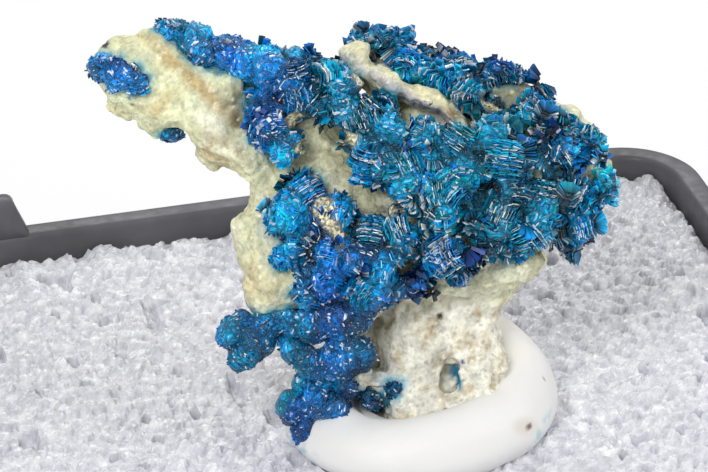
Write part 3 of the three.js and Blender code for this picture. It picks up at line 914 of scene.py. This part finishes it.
def spread(points, out, spacing, seed, keep):
    """Points picked at random that lie at least spacing mm apart, where keep is true."""
    rng = np.random.default_rng(seed)
    order = rng.permutation(np.flatnonzero(keep))[:MOST_TRIED]
    picked = np.empty((0, 3))
    numbers = []
    for index in order:
        if len(picked) == 0 or np.min(np.linalg.norm(picked - points[index], axis=1)) > spacing:
            picked = np.concatenate([picked, points[index][None]])
            numbers.append(index)
    return points[numbers], out[numbers]


def gap_to(points, others, block=2000):
    """Each point's distance to the nearest of the others, a block of points at a time."""
    parts = []
    squares = (others**2).sum(1)
    for start in range(0, len(points), block):
        some = points[start : start + block]
        square = (some**2).sum(1)[:, None] + squares - 2 * some @ others.T
        parts.append(np.sqrt(np.maximum(square.min(1), 0)))
    return np.concatenate(parts)


def inside_rock(points, block=500):
    """Depth of each point below the nearest spot of the rock's skin, in mm; negative outside."""
    some_rock, some_out = rock_points[::5], rock_out[::5]
    squares = (some_rock**2).sum(1)
    parts = []
    for start in range(0, len(points), block):
        some = points[start : start + block]
        nearest = np.argmin(squares - 2 * some @ some_rock.T, 1)
        parts.append(-((some - some_rock[nearest]) * some_out[nearest]).sum(1))
    return np.concatenate(parts)


deep = inside_rock(np.array([[0.0, 0.0, 10.5]]))
print("a point in the foot lies", deep.round(2), "mm below the rock's skin")

# %% [markdown]
# One blade is a tapered slip with a slanted end: eight points and six squares, because there are
# thousands. Instances of one mesh would all look alike, so every slip is worked out with its
# own length, width and direction, for all blades at once.

# %% One blade, many times
BLADE = np.array(
    [
        [-0.5, -0.5, 0], [0.5, -0.5, 0], [0.5, 0.5, 0], [-0.5, 0.5, 0],
        [-0.5, -0.4, 1], [0.5, -0.4, 1], [0.5, 0.4, 1], [-0.5, 0.4, 1],
    ]
)
BLADE_FACES = np.array(
    [[0, 3, 2, 1], [4, 5, 6, 7], [0, 1, 5, 4], [1, 2, 6, 5], [2, 3, 7, 6], [3, 0, 4, 7]]
)


def blades(roots, along, flat, length, width, thick, slant, colours, tips):
    """Blades from their roots: each is the slip, stretched along, across and through.

    The end of a blade slopes by slant times its width."""
    through = np.cross(along, flat)
    rise = length[:, None] * BLADE[:, 2] + (slant * width)[:, None] * BLADE[:, 0] * BLADE[:, 2]
    narrow = np.where(BLADE[:, 2] > 0, 1.0, 0.7)
    parts = (
        (BLADE[:, 0] * narrow)[None, :, None] * (flat * width[:, None])[:, None]
        + BLADE[None, :, 1:2] * (through * thick[:, None])[:, None]
        + rise[..., None] * along[:, None]
    )
    points = (roots[:, None] + parts).reshape(-1, 3)
    faces = (np.arange(len(roots))[:, None, None] * len(BLADE) + BLADE_FACES).reshape(-1, 4)
    # Root points take the root colours and end points the tips', so the painted shade at the roots fades
    # up each blade.
    ends = np.where(BLADE[None, :, 2:3] > 0, tips[:, None], colours[:, None])
    return points, faces, ends.reshape(-1, 3)


print("a blade has", len(BLADE), "points and", len(BLADE_FACES), "faces")

# %% [markdown]
# A lump of blades is laid out like a fanned pack of cards. The layers stand side by side along
# one axis and lean outwards with it, and within a layer the blades spread like fingers. Small
# random turns keep it natural, and what a layer shares gives the long arcs seen on real sheaves.

# %% A lump of blades


def unit(vectors):
    """Each vector at a length of 1."""
    return vectors / np.maximum(np.linalg.norm(vectors, axis=-1, keepdims=True), 1e-9)


def sheaf(rng, centre, out, size, layers, fingers, fan, lean, thick, jitter, book):
    """Directions, flats and lengths of one lump's blades, layer after layer.

    A layer leans by its place along the stacking axis, up to lean degrees, and a finger by its
    place in the layer, up to fan degrees. The layers' roots stand book sizes apart in all. The
    fingers of a layer share its jitter and its length, so their ends line up in long arcs."""
    axis = unit(np.cross(out, rng.normal(size=3)))
    stack = np.cross(out, axis)
    s, f = np.meshgrid(np.linspace(-1, 1, layers), np.linspace(-1, 1, fingers), indexing="ij")
    count = s.size
    s = s.ravel() + np.repeat(rng.normal(0, 0.5 / layers, layers), fingers)
    f = f.ravel() + rng.normal(0, 0.4 / fingers, count)
    layer_jitter = np.repeat(rng.normal(0, jitter, layers), fingers)
    lean_angle = np.radians(lean) * s + layer_jitter + rng.normal(0, 0.3 * jitter, count)
    fan_angle = np.radians(fan) * f + rng.normal(0, 0.5 * jitter, count)
    fanned = np.cos(fan_angle)[:, None] * out + np.sin(fan_angle)[:, None] * axis
    along = np.cos(lean_angle)[:, None] * fanned + np.sin(lean_angle)[:, None] * stack
    flat = unit(np.cross(stack + rng.normal(0, 0.5 * jitter, (count, 3)), along))
    roots = centre + book * size * s[:, None] * stack + 0.2 * size * f[:, None] * axis
    dome = np.sqrt(np.clip(1 - (book * s) ** 2, 0.1, 1))
    length = size * (0.8 * dome + 0.2 * np.cos(fan_angle)) * rng.uniform(0.89, 1.04, count)
    length = length * np.repeat(rng.uniform(0.88, 1.05, layers), fingers)
    width = size * 2 * np.radians(fan) / fingers * rng.uniform(0.9, 1.15, count)
    slant = rng.normal(0, 0.22, count)
    return roots, along, flat, length, width, thick * rng.uniform(0.7, 1.3, count), slant


print("the way from the crystals to the eye is", unit(-AWAY).round(2))

# %% [markdown]
# The crystals aren't alike all over the specimen. Three weights say where they differ: the share
# of grey-teal sheaves, the parts that are grown together smoothly, and the windows where pale
# rock shows through. All are soft ellipses and slopes in the sight frame.

# %% Where the crystals differ
WINDOWS = [
    (-1.98, 4.32, 0.4, 0.4, 0), (-1.19, 4.06, 0.3, 0.25, 0), (-1.1, 3.3, 1.35, 0.6, 18),
    (-0.9, 2.45, 0.85, 0.45, -10), (0.75, 1.25, 1.3, 0.4, -24), (-1.15, 0.95, 0.36, 0.5, 10),
    (-0.75, 0.2, 0.36, 0.7, 25), (5.6, 5.2, 0.95, 0.5, 20), (2.2, 5.35, 2.6, 0.34, -29),
    (0.45, 6.4, 1.05, 0.62, -45),
]


def teal_share(show):
    """How much of the crust is grey-teal sheaves: most of the middle and right."""
    middle = patch(show, 4.7, 2.3, 4.6, 3.2, 0, 0.5)
    top = patch(show, 3.4, 5.4, 2.4, 1.2, -10, 0.6)
    left = patch(show, 0.2, 4.6, 2.2, 1.8, -20, 0.6)
    return np.maximum(np.maximum(middle, 0.8 * top), 0.8 * left)


def fused(points):
    """Where the crystals are grown together smoothly: the arm's top and the lumps that hang."""
    show = show_of(points)
    arm = np.clip((-3.0 - show[0]) / 0.8, 0, 1) * np.clip((show[1] - 4.8) / 0.8, 0, 1)
    hanging = np.clip((-2.3 - show[1]) / 0.5, 0, 1) * np.clip((1.2 - show[0]) / 0.5, 0, 1)
    return np.maximum(arm, hanging)


def windows(points):
    """Where the pale rock shows through the crust: the ellipses with ragged edges."""
    show = list(show_of(points))
    show[0] = show[0] + 0.2 * rough(points, 0.6, 73, 3)
    show[1] = show[1] + 0.2 * rough(points, 0.6, 74, 3)
    return any_patch(show, WINDOWS, 0.2)


print(len(WINDOWS), "windows in the crust")

# %% [markdown]
# The colour changes over the specimen: grey-teal in the middle and right, royal blue to the left
# and in the glassy lumps, and azure or cyan at the right edge and wherever the crust is thin.
# The crust is a field of domes, one for each scattered seed, and each dome has a shade of its
# own.

# %% Colours of the crystals
DOME = 1.3
DOME_SEED = 41
BLUE_ZONES = [
    ("10b2f6", 0.95, (9.1, 2.3, 0.8, 1.9, 15, 0.6)),
    ("0cb0e4", 0.85, (-2.6, 1.2, 0.9, 2.2, 0, 0.8)),
    ("0a96da", 0.6, (-6.2, 6.9, 1.6, 0.5, -35, 0.8)),
    ("0858b8", 0.6, (-1.6, -6.6, 1.6, 1.2, 0, 0.6)),
]


def crystal_zone(points):
    """The crystals' colour by place: royal blue, mixed with the patches of teal and azure.

    Every dome has its own numbers too, which make it bluer, greener, lighter or darker."""
    show = show_of(points)
    own = grains(points, DOME, DOME_SEED)[2]
    colours = np.tile(srgb("0a78bc"), (len(points), 1))
    veer = lumps(points, 1.1, 71)
    colours = mixed(colours, np.clip(1.6 * veer, 0, 1) * 0.8, "0a9ccc")
    colours = mixed(colours, np.clip(-1.6 * veer, 0, 1) * 0.7, "08489c")
    colours = mixed(colours, teal_share(show) * np.where(own[:, 1] < 0.8, 0.95, 0.45), "149ac4")
    colours = marked(colours, show, BLUE_ZONES)
    left = np.clip((1 - show[0]) / 2, 0, 1)
    low = np.clip((-2.4 - show[1]) / 0.8, 0, 1)
    # Lighter to the left and darker on the low hanging lumps. The strong lift at the azure right edge is
    # painted light, as the lamps leave that edge in shade.
    bright = 1.1 + 0.42 * left - 0.45 * low + 0.9 * patch(show, *BLUE_ZONES[0][2])
    return colours * (0.55 + 0.85 * own[:, 0:1]) * bright[:, None]


def core_tint(points, near, bare, buried):
    """The crystals' colour: painted shade in the creases, cyan where thin, cream where the rock is bare.
    """
    # Painted shade: darker towards the creases between domes, less so where the crystals are fused, and
    # a little lighter on the dome tops.
    crease = np.clip(1.8 - 2.2 * near, 0.05 + 0.6 * fused(points), 1.1)[:, None]
    spot = 0.75 + 0.5 * grains(points, 0.4, DOME_SEED + 3)[2][:, 0:1]
    thin = np.clip((buried + 0.3) / 0.3, 0, 1) * 0.8
    return mixed(mixed(crystal_zone(points) * crease * spot, thin, "0c9cc0"), bare, "d8d1b0")


print("the crystals' colour at the aim point:", crystal_zone(AIM[None]).round(2))

# %% [markdown]
# Where blades are grown together, their edges still show as fine parallel streaks. A plain noise
# would give round spots. So every point gets a place in a squeezed space, as wide as a blade in
# one direction and as long as a blade in the others, and the same noise read there is streaks.
# The place is kept on the piece as an attribute.

# %% The streaks of the crust
STREAK_WIDTH = 0.055
STREAK_LENGTH = 0.45
FUSED_SHORTER = 0.3  # how much shorter the streaks are where the crystals are fused
BARE_GRAIN = 0.12
BUNDLE = 0.55


def streak_space(points, bare):
    """Each point's place across and along the blades of its dome, in blade widths and lengths.

    The blades' direction is a random one for the dome, turned a little in smaller bundles. Bare
    rock gets an even space, so it looks grainy."""
    own = grains(points, DOME, DOME_SEED)[2] - 0.5
    bundle = grains(points, BUNDLE, DOME_SEED + 2)[2] - 0.5
    across = unit(own + 0.6 * bundle)
    along = unit(np.cross(across, [0.3, 0.5, 0.8]))
    inside = np.cross(across, along)
    bent = points + 0.1 * rough(points, 0.9, 75, 2)[:, None]
    length = STREAK_LENGTH - FUSED_SHORTER * fused(points)
    turned = [(bent * direction).sum(1) for direction in (across, along, inside)]
    places = np.stack([turned[0] / STREAK_WIDTH, turned[1] / length, turned[2] / length], 1)
    return np.where(bare[:, None] > 0.5, points / BARE_GRAIN, places)


def streaked(made, points, bare):
    """Puts the streak space on a piece, as a vector for each point."""
    layer = made.data.attributes.new("streaks", "FLOAT_VECTOR", "POINT")
    layer.data.foreach_set("vector", streak_space(points, bare).astype(np.float32).ravel())


print("streaks are", STREAK_WIDTH, "mm wide")

# %% [markdown]
# A real sheaf glitters: some layers of blades face the light and look almost white, and others
# stay dark. That light and shade is painted into the blades' colours: the shade is chosen for a
# layer and varied a little for each blade, and some layers get a painted highlight of near white.
# The roots get painted shade, as light doesn't reach between the blades.

# %% The shades of a lump's blades
# Painted shade at the blades' roots: the share of the tip's colour that a root keeps.
ROOT_SHADE = 0.15


def paint(rng, colour, layers, fingers, pale):
    """Root and tip colours of a lump's blades: painted shade at the roots, brighter tips, and pale
    layers that are painted glints.

    A layer has one painted shade, with a little change from finger to finger. Layers at the two
    faces of the lump never get the painted glints."""
    layer = rng.uniform(0.25, 1.4, (layers, 1))
    hue = np.repeat(rng.uniform(-1, 1, (layers, 1)), fingers, 0)
    shade = np.repeat(layer, fingers, 0) * rng.uniform(0.75, 1.25, (layers * fingers, 1))
    tips = colour * shade * (1 + 0.3 * hue * np.array([0, 1, -0.4]))
    # Near-white layers are painted glints.
    inner = np.abs(np.linspace(-1, 1, layers)) < 0.86
    white = (rng.random(layers) < pale) * inner * rng.uniform(0.3, 1.0, layers)
    white = np.repeat(white, fingers)[:, None] * rng.uniform(0.1, 1.6, (layers * fingers, 1))
    white = np.clip(white, 0, 1)
    tips = tips * (1 - white) + white * srgb("f8ffff")
    return tips * ROOT_SHADE, np.clip(tips, 0, 1)


print("a root keeps", ROOT_SHADE, "of its tip's colour")

# %% [markdown]
# Some lumps are fine sheaves, some are stacks of plates, some are bursts of small grains, and a
# few are stout glassy crystals. A kind is one row of numbers: angles in degrees, thickness in
# millimetres, and how far it is sunk in the crust in sizes. The place on the specimen decides
# which kind grows.

# %% Kinds of lump
KINDS = {
    "sheaf": dict(layers=24, fingers=7, fan=50, lean=38, thick=0.03, jitter=0.08, book=0.7, sink=0.75),
    "plates": dict(layers=26, fingers=5, fan=50, lean=30, thick=0.03, jitter=0.08, book=0.72, sink=0.75),
    "grain": dict(layers=5, fingers=2, fan=44, lean=44, thick=0.05, jitter=0.3, book=0.5, sink=0.72),
    "glass": dict(layers=3, fingers=3, fan=26, lean=24, thick=0.2, jitter=0.16, book=0.5, sink=0.8),
}
# The share of layers in each kind that get painted near-white glints.
PAINTED_GLINT_SHARE = {"sheaf": 0.36, "plates": 0.36, "grain": 0.3, "glass": 0.04}


def grow(rng, kind, centres, outs, low, high):
    """All the blades of some lumps of one kind, low to high mm in size, as one set of columns."""
    sizes = rng.uniform(low, high, len(centres))
    # Lumps nearer the creases between domes get darker colours: painted shade.
    crease = np.clip(1.8 - 2.0 * grains(centres, DOME, DOME_SEED)[0], 0.12, 1.2)[:, None]
    own = crystal_zone(centres) * rng.uniform(0.7, 1.25, (len(centres), 1)) * crease
    if kind == "glass":
        own = 0.4 * own + 0.6 * srgb("0858b4")
    habit = dict(KINDS[kind])
    sink = habit.pop("sink")
    parts = []
    for centre, out, size, colour in zip(centres, outs, sizes, own):
        slips = sheaf(rng, centre - sink * size * out, out, size, **habit)
        colours = paint(rng, colour, habit["layers"], habit["fingers"], PAINTED_GLINT_SHARE[kind])
        parts.append((*slips, *colours))
    print(kind, len(centres), "lumps", sum(len(part[0]) for part in parts), "blades")
    return [np.concatenate(column) for column in zip(*parts)]


def together(*sets):
    """Several sets of blades as one."""
    return [np.concatenate(columns) for columns in zip(*sets)]


print("kinds:", ", ".join(KINDS))

# %% [markdown]
# Blades that would cover the windows, or stick out of the specimen's outline where the real one
# has a notch, are left out. The rest goes into a few pieces, so that no single mesh grows too
# big to edit.

# %% Which blades are kept
BLADES_APIECE = 16000
NOTCHES = [
    (8.75, 5.4, 2.2, 0.6, -37), (2.95, 7.6, 0.5, 0.75, 0), (10.0, 4.05, 1.3, 0.55, -55),
    (10.4, 1.9, 0.5, 2.4, 0), (3.3, 7.5, 1.3, 0.5, 0), (1.1, 8.5, 1.3, 0.35, 0),
    (-0.85, 7.15, 0.55, 0.5, 0),
]


def in_the_open(slips):
    """The blades whose tips and middles aren't over a window, and whose tips are in no notch."""
    roots, along, length = slips[0], slips[1], slips[3]
    reach = along * length[:, None]
    over = np.maximum(windows(roots + reach), windows(roots + 0.6 * reach))
    kept = (over < 0.5) | (along @ AWAY > 0.3)
    kept &= any_patch(show_of(roots + reach), NOTCHES) < 0.4
    return [column[kept] for column in slips]


def blade_pieces(name, slips):
    """Pieces of at most BLADES_APIECE blades each."""
    count = -(-len(slips[0]) // BLADES_APIECE)
    for index in range(count):
        some = [column[index::count] for column in slips]
        points, faces, tint = blades(*some)
        piece(name + "_" + str(index + 1), points, faces, CRYSTAL, "crystal", tint, smooth=False)


print(len(NOTCHES), "notches in the outline")

# %% [markdown]
# The crust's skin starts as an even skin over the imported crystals. Each scattered seed then
# raises a dome round it, with a crease between it and its neighbours, and smaller knobs ride on
# the domes. Where crystals are fused, the creases are shallow. The skin sinks under the rock at
# the windows.

# %% The skin of the crust
CORE_SPACING = 0.09
KNOB = 0.5


def drawn_in(points):
    """The thin upper right edge, moved sideways towards the crust's middle."""
    show = show_of(points)
    slope = 0.5 * patch(show, 8.5, 5.0, 2.1, 1.0, -37)
    end = 0.6 * patch(show, 10.2, 3.6, 1.0, 1.6)
    return points - slope[:, None] * (0.6 * RIGHT + 0.8 * UP) - end[:, None] * RIGHT


def core_of(node, depth):
    """A skin over one solid: domes with creases depth mm deep or more between them.

    Returns its points, faces, outward directions, and each point's distance from its dome's
    middle, in dome sizes."""
    points, faces = skin_of([node], CORE_SPACING, 4)
    points = drawn_in(points)
    near = grains(points, DOME, DOME_SEED)[0]
    first, second, _ = grains(points, KNOB, DOME_SEED + 4)
    show = show_of(points)
    lift = 0.14 - 0.07 * np.clip((show[0] - 0.5) / 2, 0, 1)
    grown = fused(points)
    depth = depth * (1 - 0.9 * grown)
    dome = lift - depth * np.minimum(near, 0.8) ** 2 + (0.16 - 0.09 * grown) * (second - first)
    open_rock = windows(points)
    rise = dome * (1 - open_rock) - 0.25 * open_rock + 0.06 * rough(points, KNOB, DOME_SEED + 1, 2)
    rise -= 0.9 * patch(show, 2.95, 7.6, 0.6, 0.8) + 0.2 * patch(show, 1.2, 8.0, 1.2, 0.5)
    rise += 0.3 * patch(show, 0.1, 5.7, 0.35, 0.3) - 0.35 * patch(show, -0.85, 7.0, 0.5, 0.5)
    points = points + rise[:, None] * normals_of(points, faces)
    return points, faces, normals_of(points, faces), near


crust_points, crust_faces, crust_out, crust_near = core_of("crystal_crust", 0.75)
print("the crust's skin has", len(crust_points), "points")

# %% [markdown]
# The main crust gets its lumps next. Sheaves and plates stand on the tops of the grey-teal
# domes, a few plates on the blue ones, glassy crystals and grains anywhere in the open, and only
# fine grains on the fused parts. Nothing grows in a window or below the rock's skin.

# %% The places of the crust's lumps
bare = windows(crust_points) * (crust_out @ AWAY < 0.2)
buried = inside_rock(crust_points)
free = (buried < 0.08) & (bare < 0.05)
smooth_part = fused(crust_points) > 0.5
dome_top = free & (crust_near < 0.55) & ~smooth_part
is_teal = teal_share(show_of(crust_points)) > 0.35
sheaf_spots = spread(crust_points, crust_out, 1.4, 3, dome_top & is_teal)
plate_spots = spread(crust_points, crust_out, 1.3, 9, dome_top & is_teal)
few_spots = spread(crust_points, crust_out, 1.7, 5, dome_top & ~is_teal)
glass_spots = spread(crust_points, crust_out, 1.5, 6, free & ~smooth_part)
grain_spots = spread(crust_points, crust_out, 0.36, 4, free & ~smooth_part)
fine_spots = spread(crust_points, crust_out, 0.42, 14, free & smooth_part)
print(len(sheaf_spots[0]), "places for sheaves and", len(grain_spots[0]), "for grains")

# %% [markdown]
# All the lumps are grown with one random generator, so the crust comes out the same each run.
# The blades become pieces of their own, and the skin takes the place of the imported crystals.

# %% The main crust
rng = np.random.default_rng(7)
crust_slips = together(
    grow(rng, "sheaf", *sheaf_spots, 0.42, 0.76),
    grow(rng, "plates", *plate_spots, 0.42, 0.76),
    grow(rng, "plates", *few_spots, 0.4, 0.65),
    grow(rng, "glass", *glass_spots, 0.4, 0.6),
    grow(rng, "grain", *grain_spots, 0.24, 0.38),
    grow(rng, "grain", *fine_spots, 0.16, 0.26),
)
blade_pieces("crust_blades", in_the_open(crust_slips))
crust_tint = core_tint(crust_points, crust_near, bare, buried)
core = piece("crust_core", crust_points, crust_faces, CRUST, "crystal", crust_tint)
streaked(core, crust_points, bare)
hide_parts("crystal_crust")

# %% [markdown]
# Six small patches of crystal stand apart from the crust. They are made in the same way in one
# loop, with shallower creases and only fine grains, because each is just a few domes big.

# %% The small patches of crystal
SMALL_PATCHES = [
    "crystal_back_patch", "crystal_tip_patch", "crystal_arm_lump",
    "crystal_ledge_strip", "crystal_foot_cluster", "crystal_stem_patch",
]
PATCH_CREASE = 0.3
PATCH_SEED = 50


def small_patch(node, seed):
    """One patch's grains and its skin. Returns the places of the grains."""
    points, faces, out, near = core_of(node, PATCH_CREASE)
    buried = inside_rock(points)
    spots = spread(points, out, 0.42, seed, buried < 0.1)
    short = node.replace("crystal_", "")
    grown, grown_faces, grown_tint = blades(*grow(rng, "grain", *spots, 0.16, 0.26))
    piece(short + "_blades", grown, grown_faces, CRYSTAL, "crystal", grown_tint, smooth=False)
    no_rock = np.zeros(len(points))
    tint = core_tint(points, near, no_rock, buried)
    made = piece(short + "_core", points, faces, CRUST, "crystal", tint)
    streaked(made, points, no_rock)
    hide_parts(node)
    return spots[0]


every_centre = [sheaf_spots[0], plate_spots[0], few_spots[0], grain_spots[0], fine_spots[0]]
for number, node in enumerate(SMALL_PATCHES):
    every_centre.append(small_patch(node, PATCH_SEED + number))
print(sum(len(centres) for centres in every_centre), "lumps in all")

# %% [markdown]
# Where thin crystal meets the rock it stains it azure and green. The stain could be painted, but
# then it would have to be moved with every change to the crystals. So the rock's points take
# it from their distance to the nearest lump.

# %% The rock with its stained fringe
FRINGE = 0.3
fringe = np.exp(-((gap_to(rock_points, np.concatenate(every_centre)) / FRINGE) ** 2))
rock_colours = mixed(rock_colours, np.clip(1.3 * fringe, 0, 1) * 0.9, "0c9cb8")
rock = piece("rock", rock_points, rock_faces, ROCK, "matrix_rock", rock_colours)
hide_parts("matrix")

# %% [markdown]
# The putty was rolled, pressed down in a ring and smoothed with a finger. Sculpting would suit
# it, but a section carried round an oval is easier to change. The section is drawn as heights
# at shares of the way out from the middle. It stands taller on the side where the putty was
# pressed up the specimen's foot, and lower at the front left.

# %% The putty's ring
PUTTY_X, PUTTY_Y = 0.56, -0.72
PUTTY_FLOOR = 9.18
PUTTY_TALL = 2.35
PUTTY_BOWL = 0.9  # height of the hidden bowl under the foot
PUTTY_RINGS = np.array(
    [
        [0.0, 0.30], [0.35, 0.34], [0.5, 0.72], [0.6, 0.96], [0.7, 1.0],
        [0.82, 0.9], [0.93, 0.68], [1.0, 0.36], [0.97, 0.1], [0.88, -0.05],
    ]
)


def smooth_path(values, steps):
    """More points along a path of rows: each stretch follows a cubic through its neighbours."""
    padded = np.concatenate([2 * values[:1] - values[1:2], values, 2 * values[-1:] - values[-2:-1]])
    t = np.linspace(0, 1, steps, endpoint=False)[None, :, None]
    a, b, c, d = (padded[k : k + len(values) - 1, None] for k in range(4))
    curve = 0.5 * (
        2 * b + (c - a) * t + (2 * a - 5 * b + 4 * c - d) * t**2 + (3 * b - a - 3 * c + d) * t**3
    )
    return np.concatenate([curve.reshape(-1, values.shape[1]), values[-1:]])


def putty_ring():
    """Height and reach round the ring: an oval of 5.2 by 4.4 mm, skewed 8 degrees, that rises
    1.1 mm round a turn of 42 degrees and sinks 0.4 mm round a turn of 215 degrees."""
    rings = smooth_path(PUTTY_RINGS, 9)[1:]
    turn = np.linspace(0, 2 * math.pi, 240, endpoint=False)
    off = (turn - math.radians(42) + math.pi) % (2 * math.pi) - math.pi
    tall = PUTTY_TALL + 1.1 * np.exp(-((off / math.radians(42)) ** 2))
    tall -= 0.4 * np.exp(-(((turn - math.radians(215)) / math.radians(35)) ** 2))
    reach = (4.8 + 0.4 * np.cos(2 * (turn - math.radians(8)))) * (1 + 0.02 * np.sin(3 * turn + 1))
    x = PUTTY_X + np.outer(reach * np.cos(turn), rings[:, 0])
    y = PUTTY_Y + np.outer(reach * np.sin(turn), rings[:, 0])
    z = PUTTY_FLOOR + np.outer(tall, rings[:, 1])
    low = rings[:, 0] < 0.45
    z[:, low] = PUTTY_FLOOR + PUTTY_BOWL * rings[low, 1] / PUTTY_RINGS[1, 1]
    return np.stack([x, y, z], 2)


ring = putty_ring()
print("the putty's ring has", ring.shape[0], "sections of", ring.shape[1], "points")

# %% [markdown]
# The ring is closed by a bowl under the specimen's foot and a flat underside, and a little noise
# gives it the dents of fingers. It is plain white, with a speck of grit in a beige halo, a few
# tiny dark specks, and faint blue stains where crystals have rubbed off.

# %% The putty


def putty(ring):
    """The carried section, closed by the bowl inside and the underside."""
    rows, columns = ring.shape[:2]
    points = ring.reshape(-1, 3)
    faces = grid_faces(rows, columns)[:, ::-1]
    first = np.arange(rows) * columns
    points, bowl = cap(points, first, [PUTTY_X, PUTTY_Y, PUTTY_FLOOR + PUTTY_BOWL], True)
    points, under = cap(points, first + columns - 1, [PUTTY_X, PUTTY_Y, PUTTY_FLOOR - 0.05], False)
    return points, np.concatenate([faces, bowl, under])


PUTTY_STAINS = [(-1.9, -8.2, 0.9, 0.35, -50, 1.0), (7.1, -7.2, 0.9, 0.2, 60, 1.0)]
GRIT = [
    ("cdbb9c", 0.35, (6.35, -7.1, 0.4, 0.3, 0, 0.9)),
    ("5a4636", 0.9, (6.52, -7.1, 0.12, 0.1, 60, 0.6)),
]
putty_points, putty_faces = putty(ring)
putty_out = normals_of(putty_points, putty_faces)
putty_points = putty_points + 0.05 * rough(putty_points, 1.8, 61, 2)[:, None] * putty_out
putty_show = show_of(putty_points)
putty_tint = marked(np.tile(srgb("f2f1ef"), (len(putty_points), 1)), putty_show, GRIT)
stained = sum(patch(putty_show, *stain) for stain in PUTTY_STAINS)
spots = np.clip(2 * rough(putty_points, 0.25, 63, 2), 0, 1)
putty_tint = mixed(putty_tint, 0.6 * np.clip(stained, 0, 1) * spots, "7cc4dc")
near, _, numbers = grains(putty_points, 0.7, 64)
putty_tint = mixed(putty_tint, 0.6 * (near < 0.08) * (numbers[:, 0] < 0.3), "5c6468")
putty_piece = piece("putty_seat", putty_points, putty_faces, PUTTY, "putty", putty_tint)
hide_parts("putty")

# %% [markdown]
# The specimen stands on a plain pale floor. The floor isn't part of the object, so it is only
# staged: it shows in the render and stays out of the model.

# %% The floor
FLOOR_HALF = 0.6
floor_corners = np.array([[-1, -1, 0], [1, -1, 0], [1, 1, 0], [-1, 1, 0]]) * FLOOR_HALF
floor_mesh = bpy.data.meshes.new("floor")
floor_mesh.from_pydata(floor_corners.tolist(), [], [(0, 1, 2, 3)])
floor_object = bpy.data.objects.new("floor", floor_mesh)
bpy.context.scene.collection.objects.link(floor_object)
pale_floor, _, floor_shader, _ = new_material("pale floor")
floor_shader.inputs["Base Color"].default_value = (0.92, 0.92, 0.925, 1)
floor_shader.inputs["Roughness"].default_value = 0.8
floor_mesh.materials.append(pale_floor)
print("the floor is", 2 * FLOOR_HALF, "m wide")

# %% [markdown]
# Soft light suits glassy crystals: a small bright lamp would burn out a few facets and leave the
# rest dark. Three large square lamps stand round the box, the strongest at the front left, and
# a white world fills the shadows.

# %% The lights
LAMPS = [
    ("key", (-90, -110, 150), 0.195, 70),
    ("fill", (130, -60, 90), 0.075, 90),
    ("back", (30, 140, 120), 0.105, 90),
]
LIT_POINT = np.array([0.0, 0.0, 14.0])
WORLD_LIGHT = 0.49


def area_light(name, place, power, size):
    """A square lamp at place, in mm, that faces the specimen."""
    data = bpy.data.lights.new(name, "AREA")
    data.energy = power
    data.size = size * MM
    lamp = bpy.data.objects.new(name, data)
    bpy.context.scene.collection.objects.link(lamp)
    aim = unit(LIT_POINT - np.array(place))
    side = unit(np.cross(aim, [0, 0, 1.0]))
    pose = np.eye(4)
    pose[:3, 0], pose[:3, 1], pose[:3, 2] = side, np.cross(side, aim), -aim
    pose[:3, 3] = np.array(place) * MM
    lamp.matrix_world = Matrix(pose)


for lamp in LAMPS:
    area_light(*lamp)
world = bpy.data.worlds.new("studio")
bpy.context.scene.world = world
world.use_nodes = True
background = world.node_tree.nodes["Background"]
background.inputs["Color"].default_value = (1, 1, 1, 1)
background.inputs["Strength"].default_value = WORLD_LIGHT
bpy.context.scene.view_settings.view_transform = "Standard"
print(len(LAMPS), "lamps")
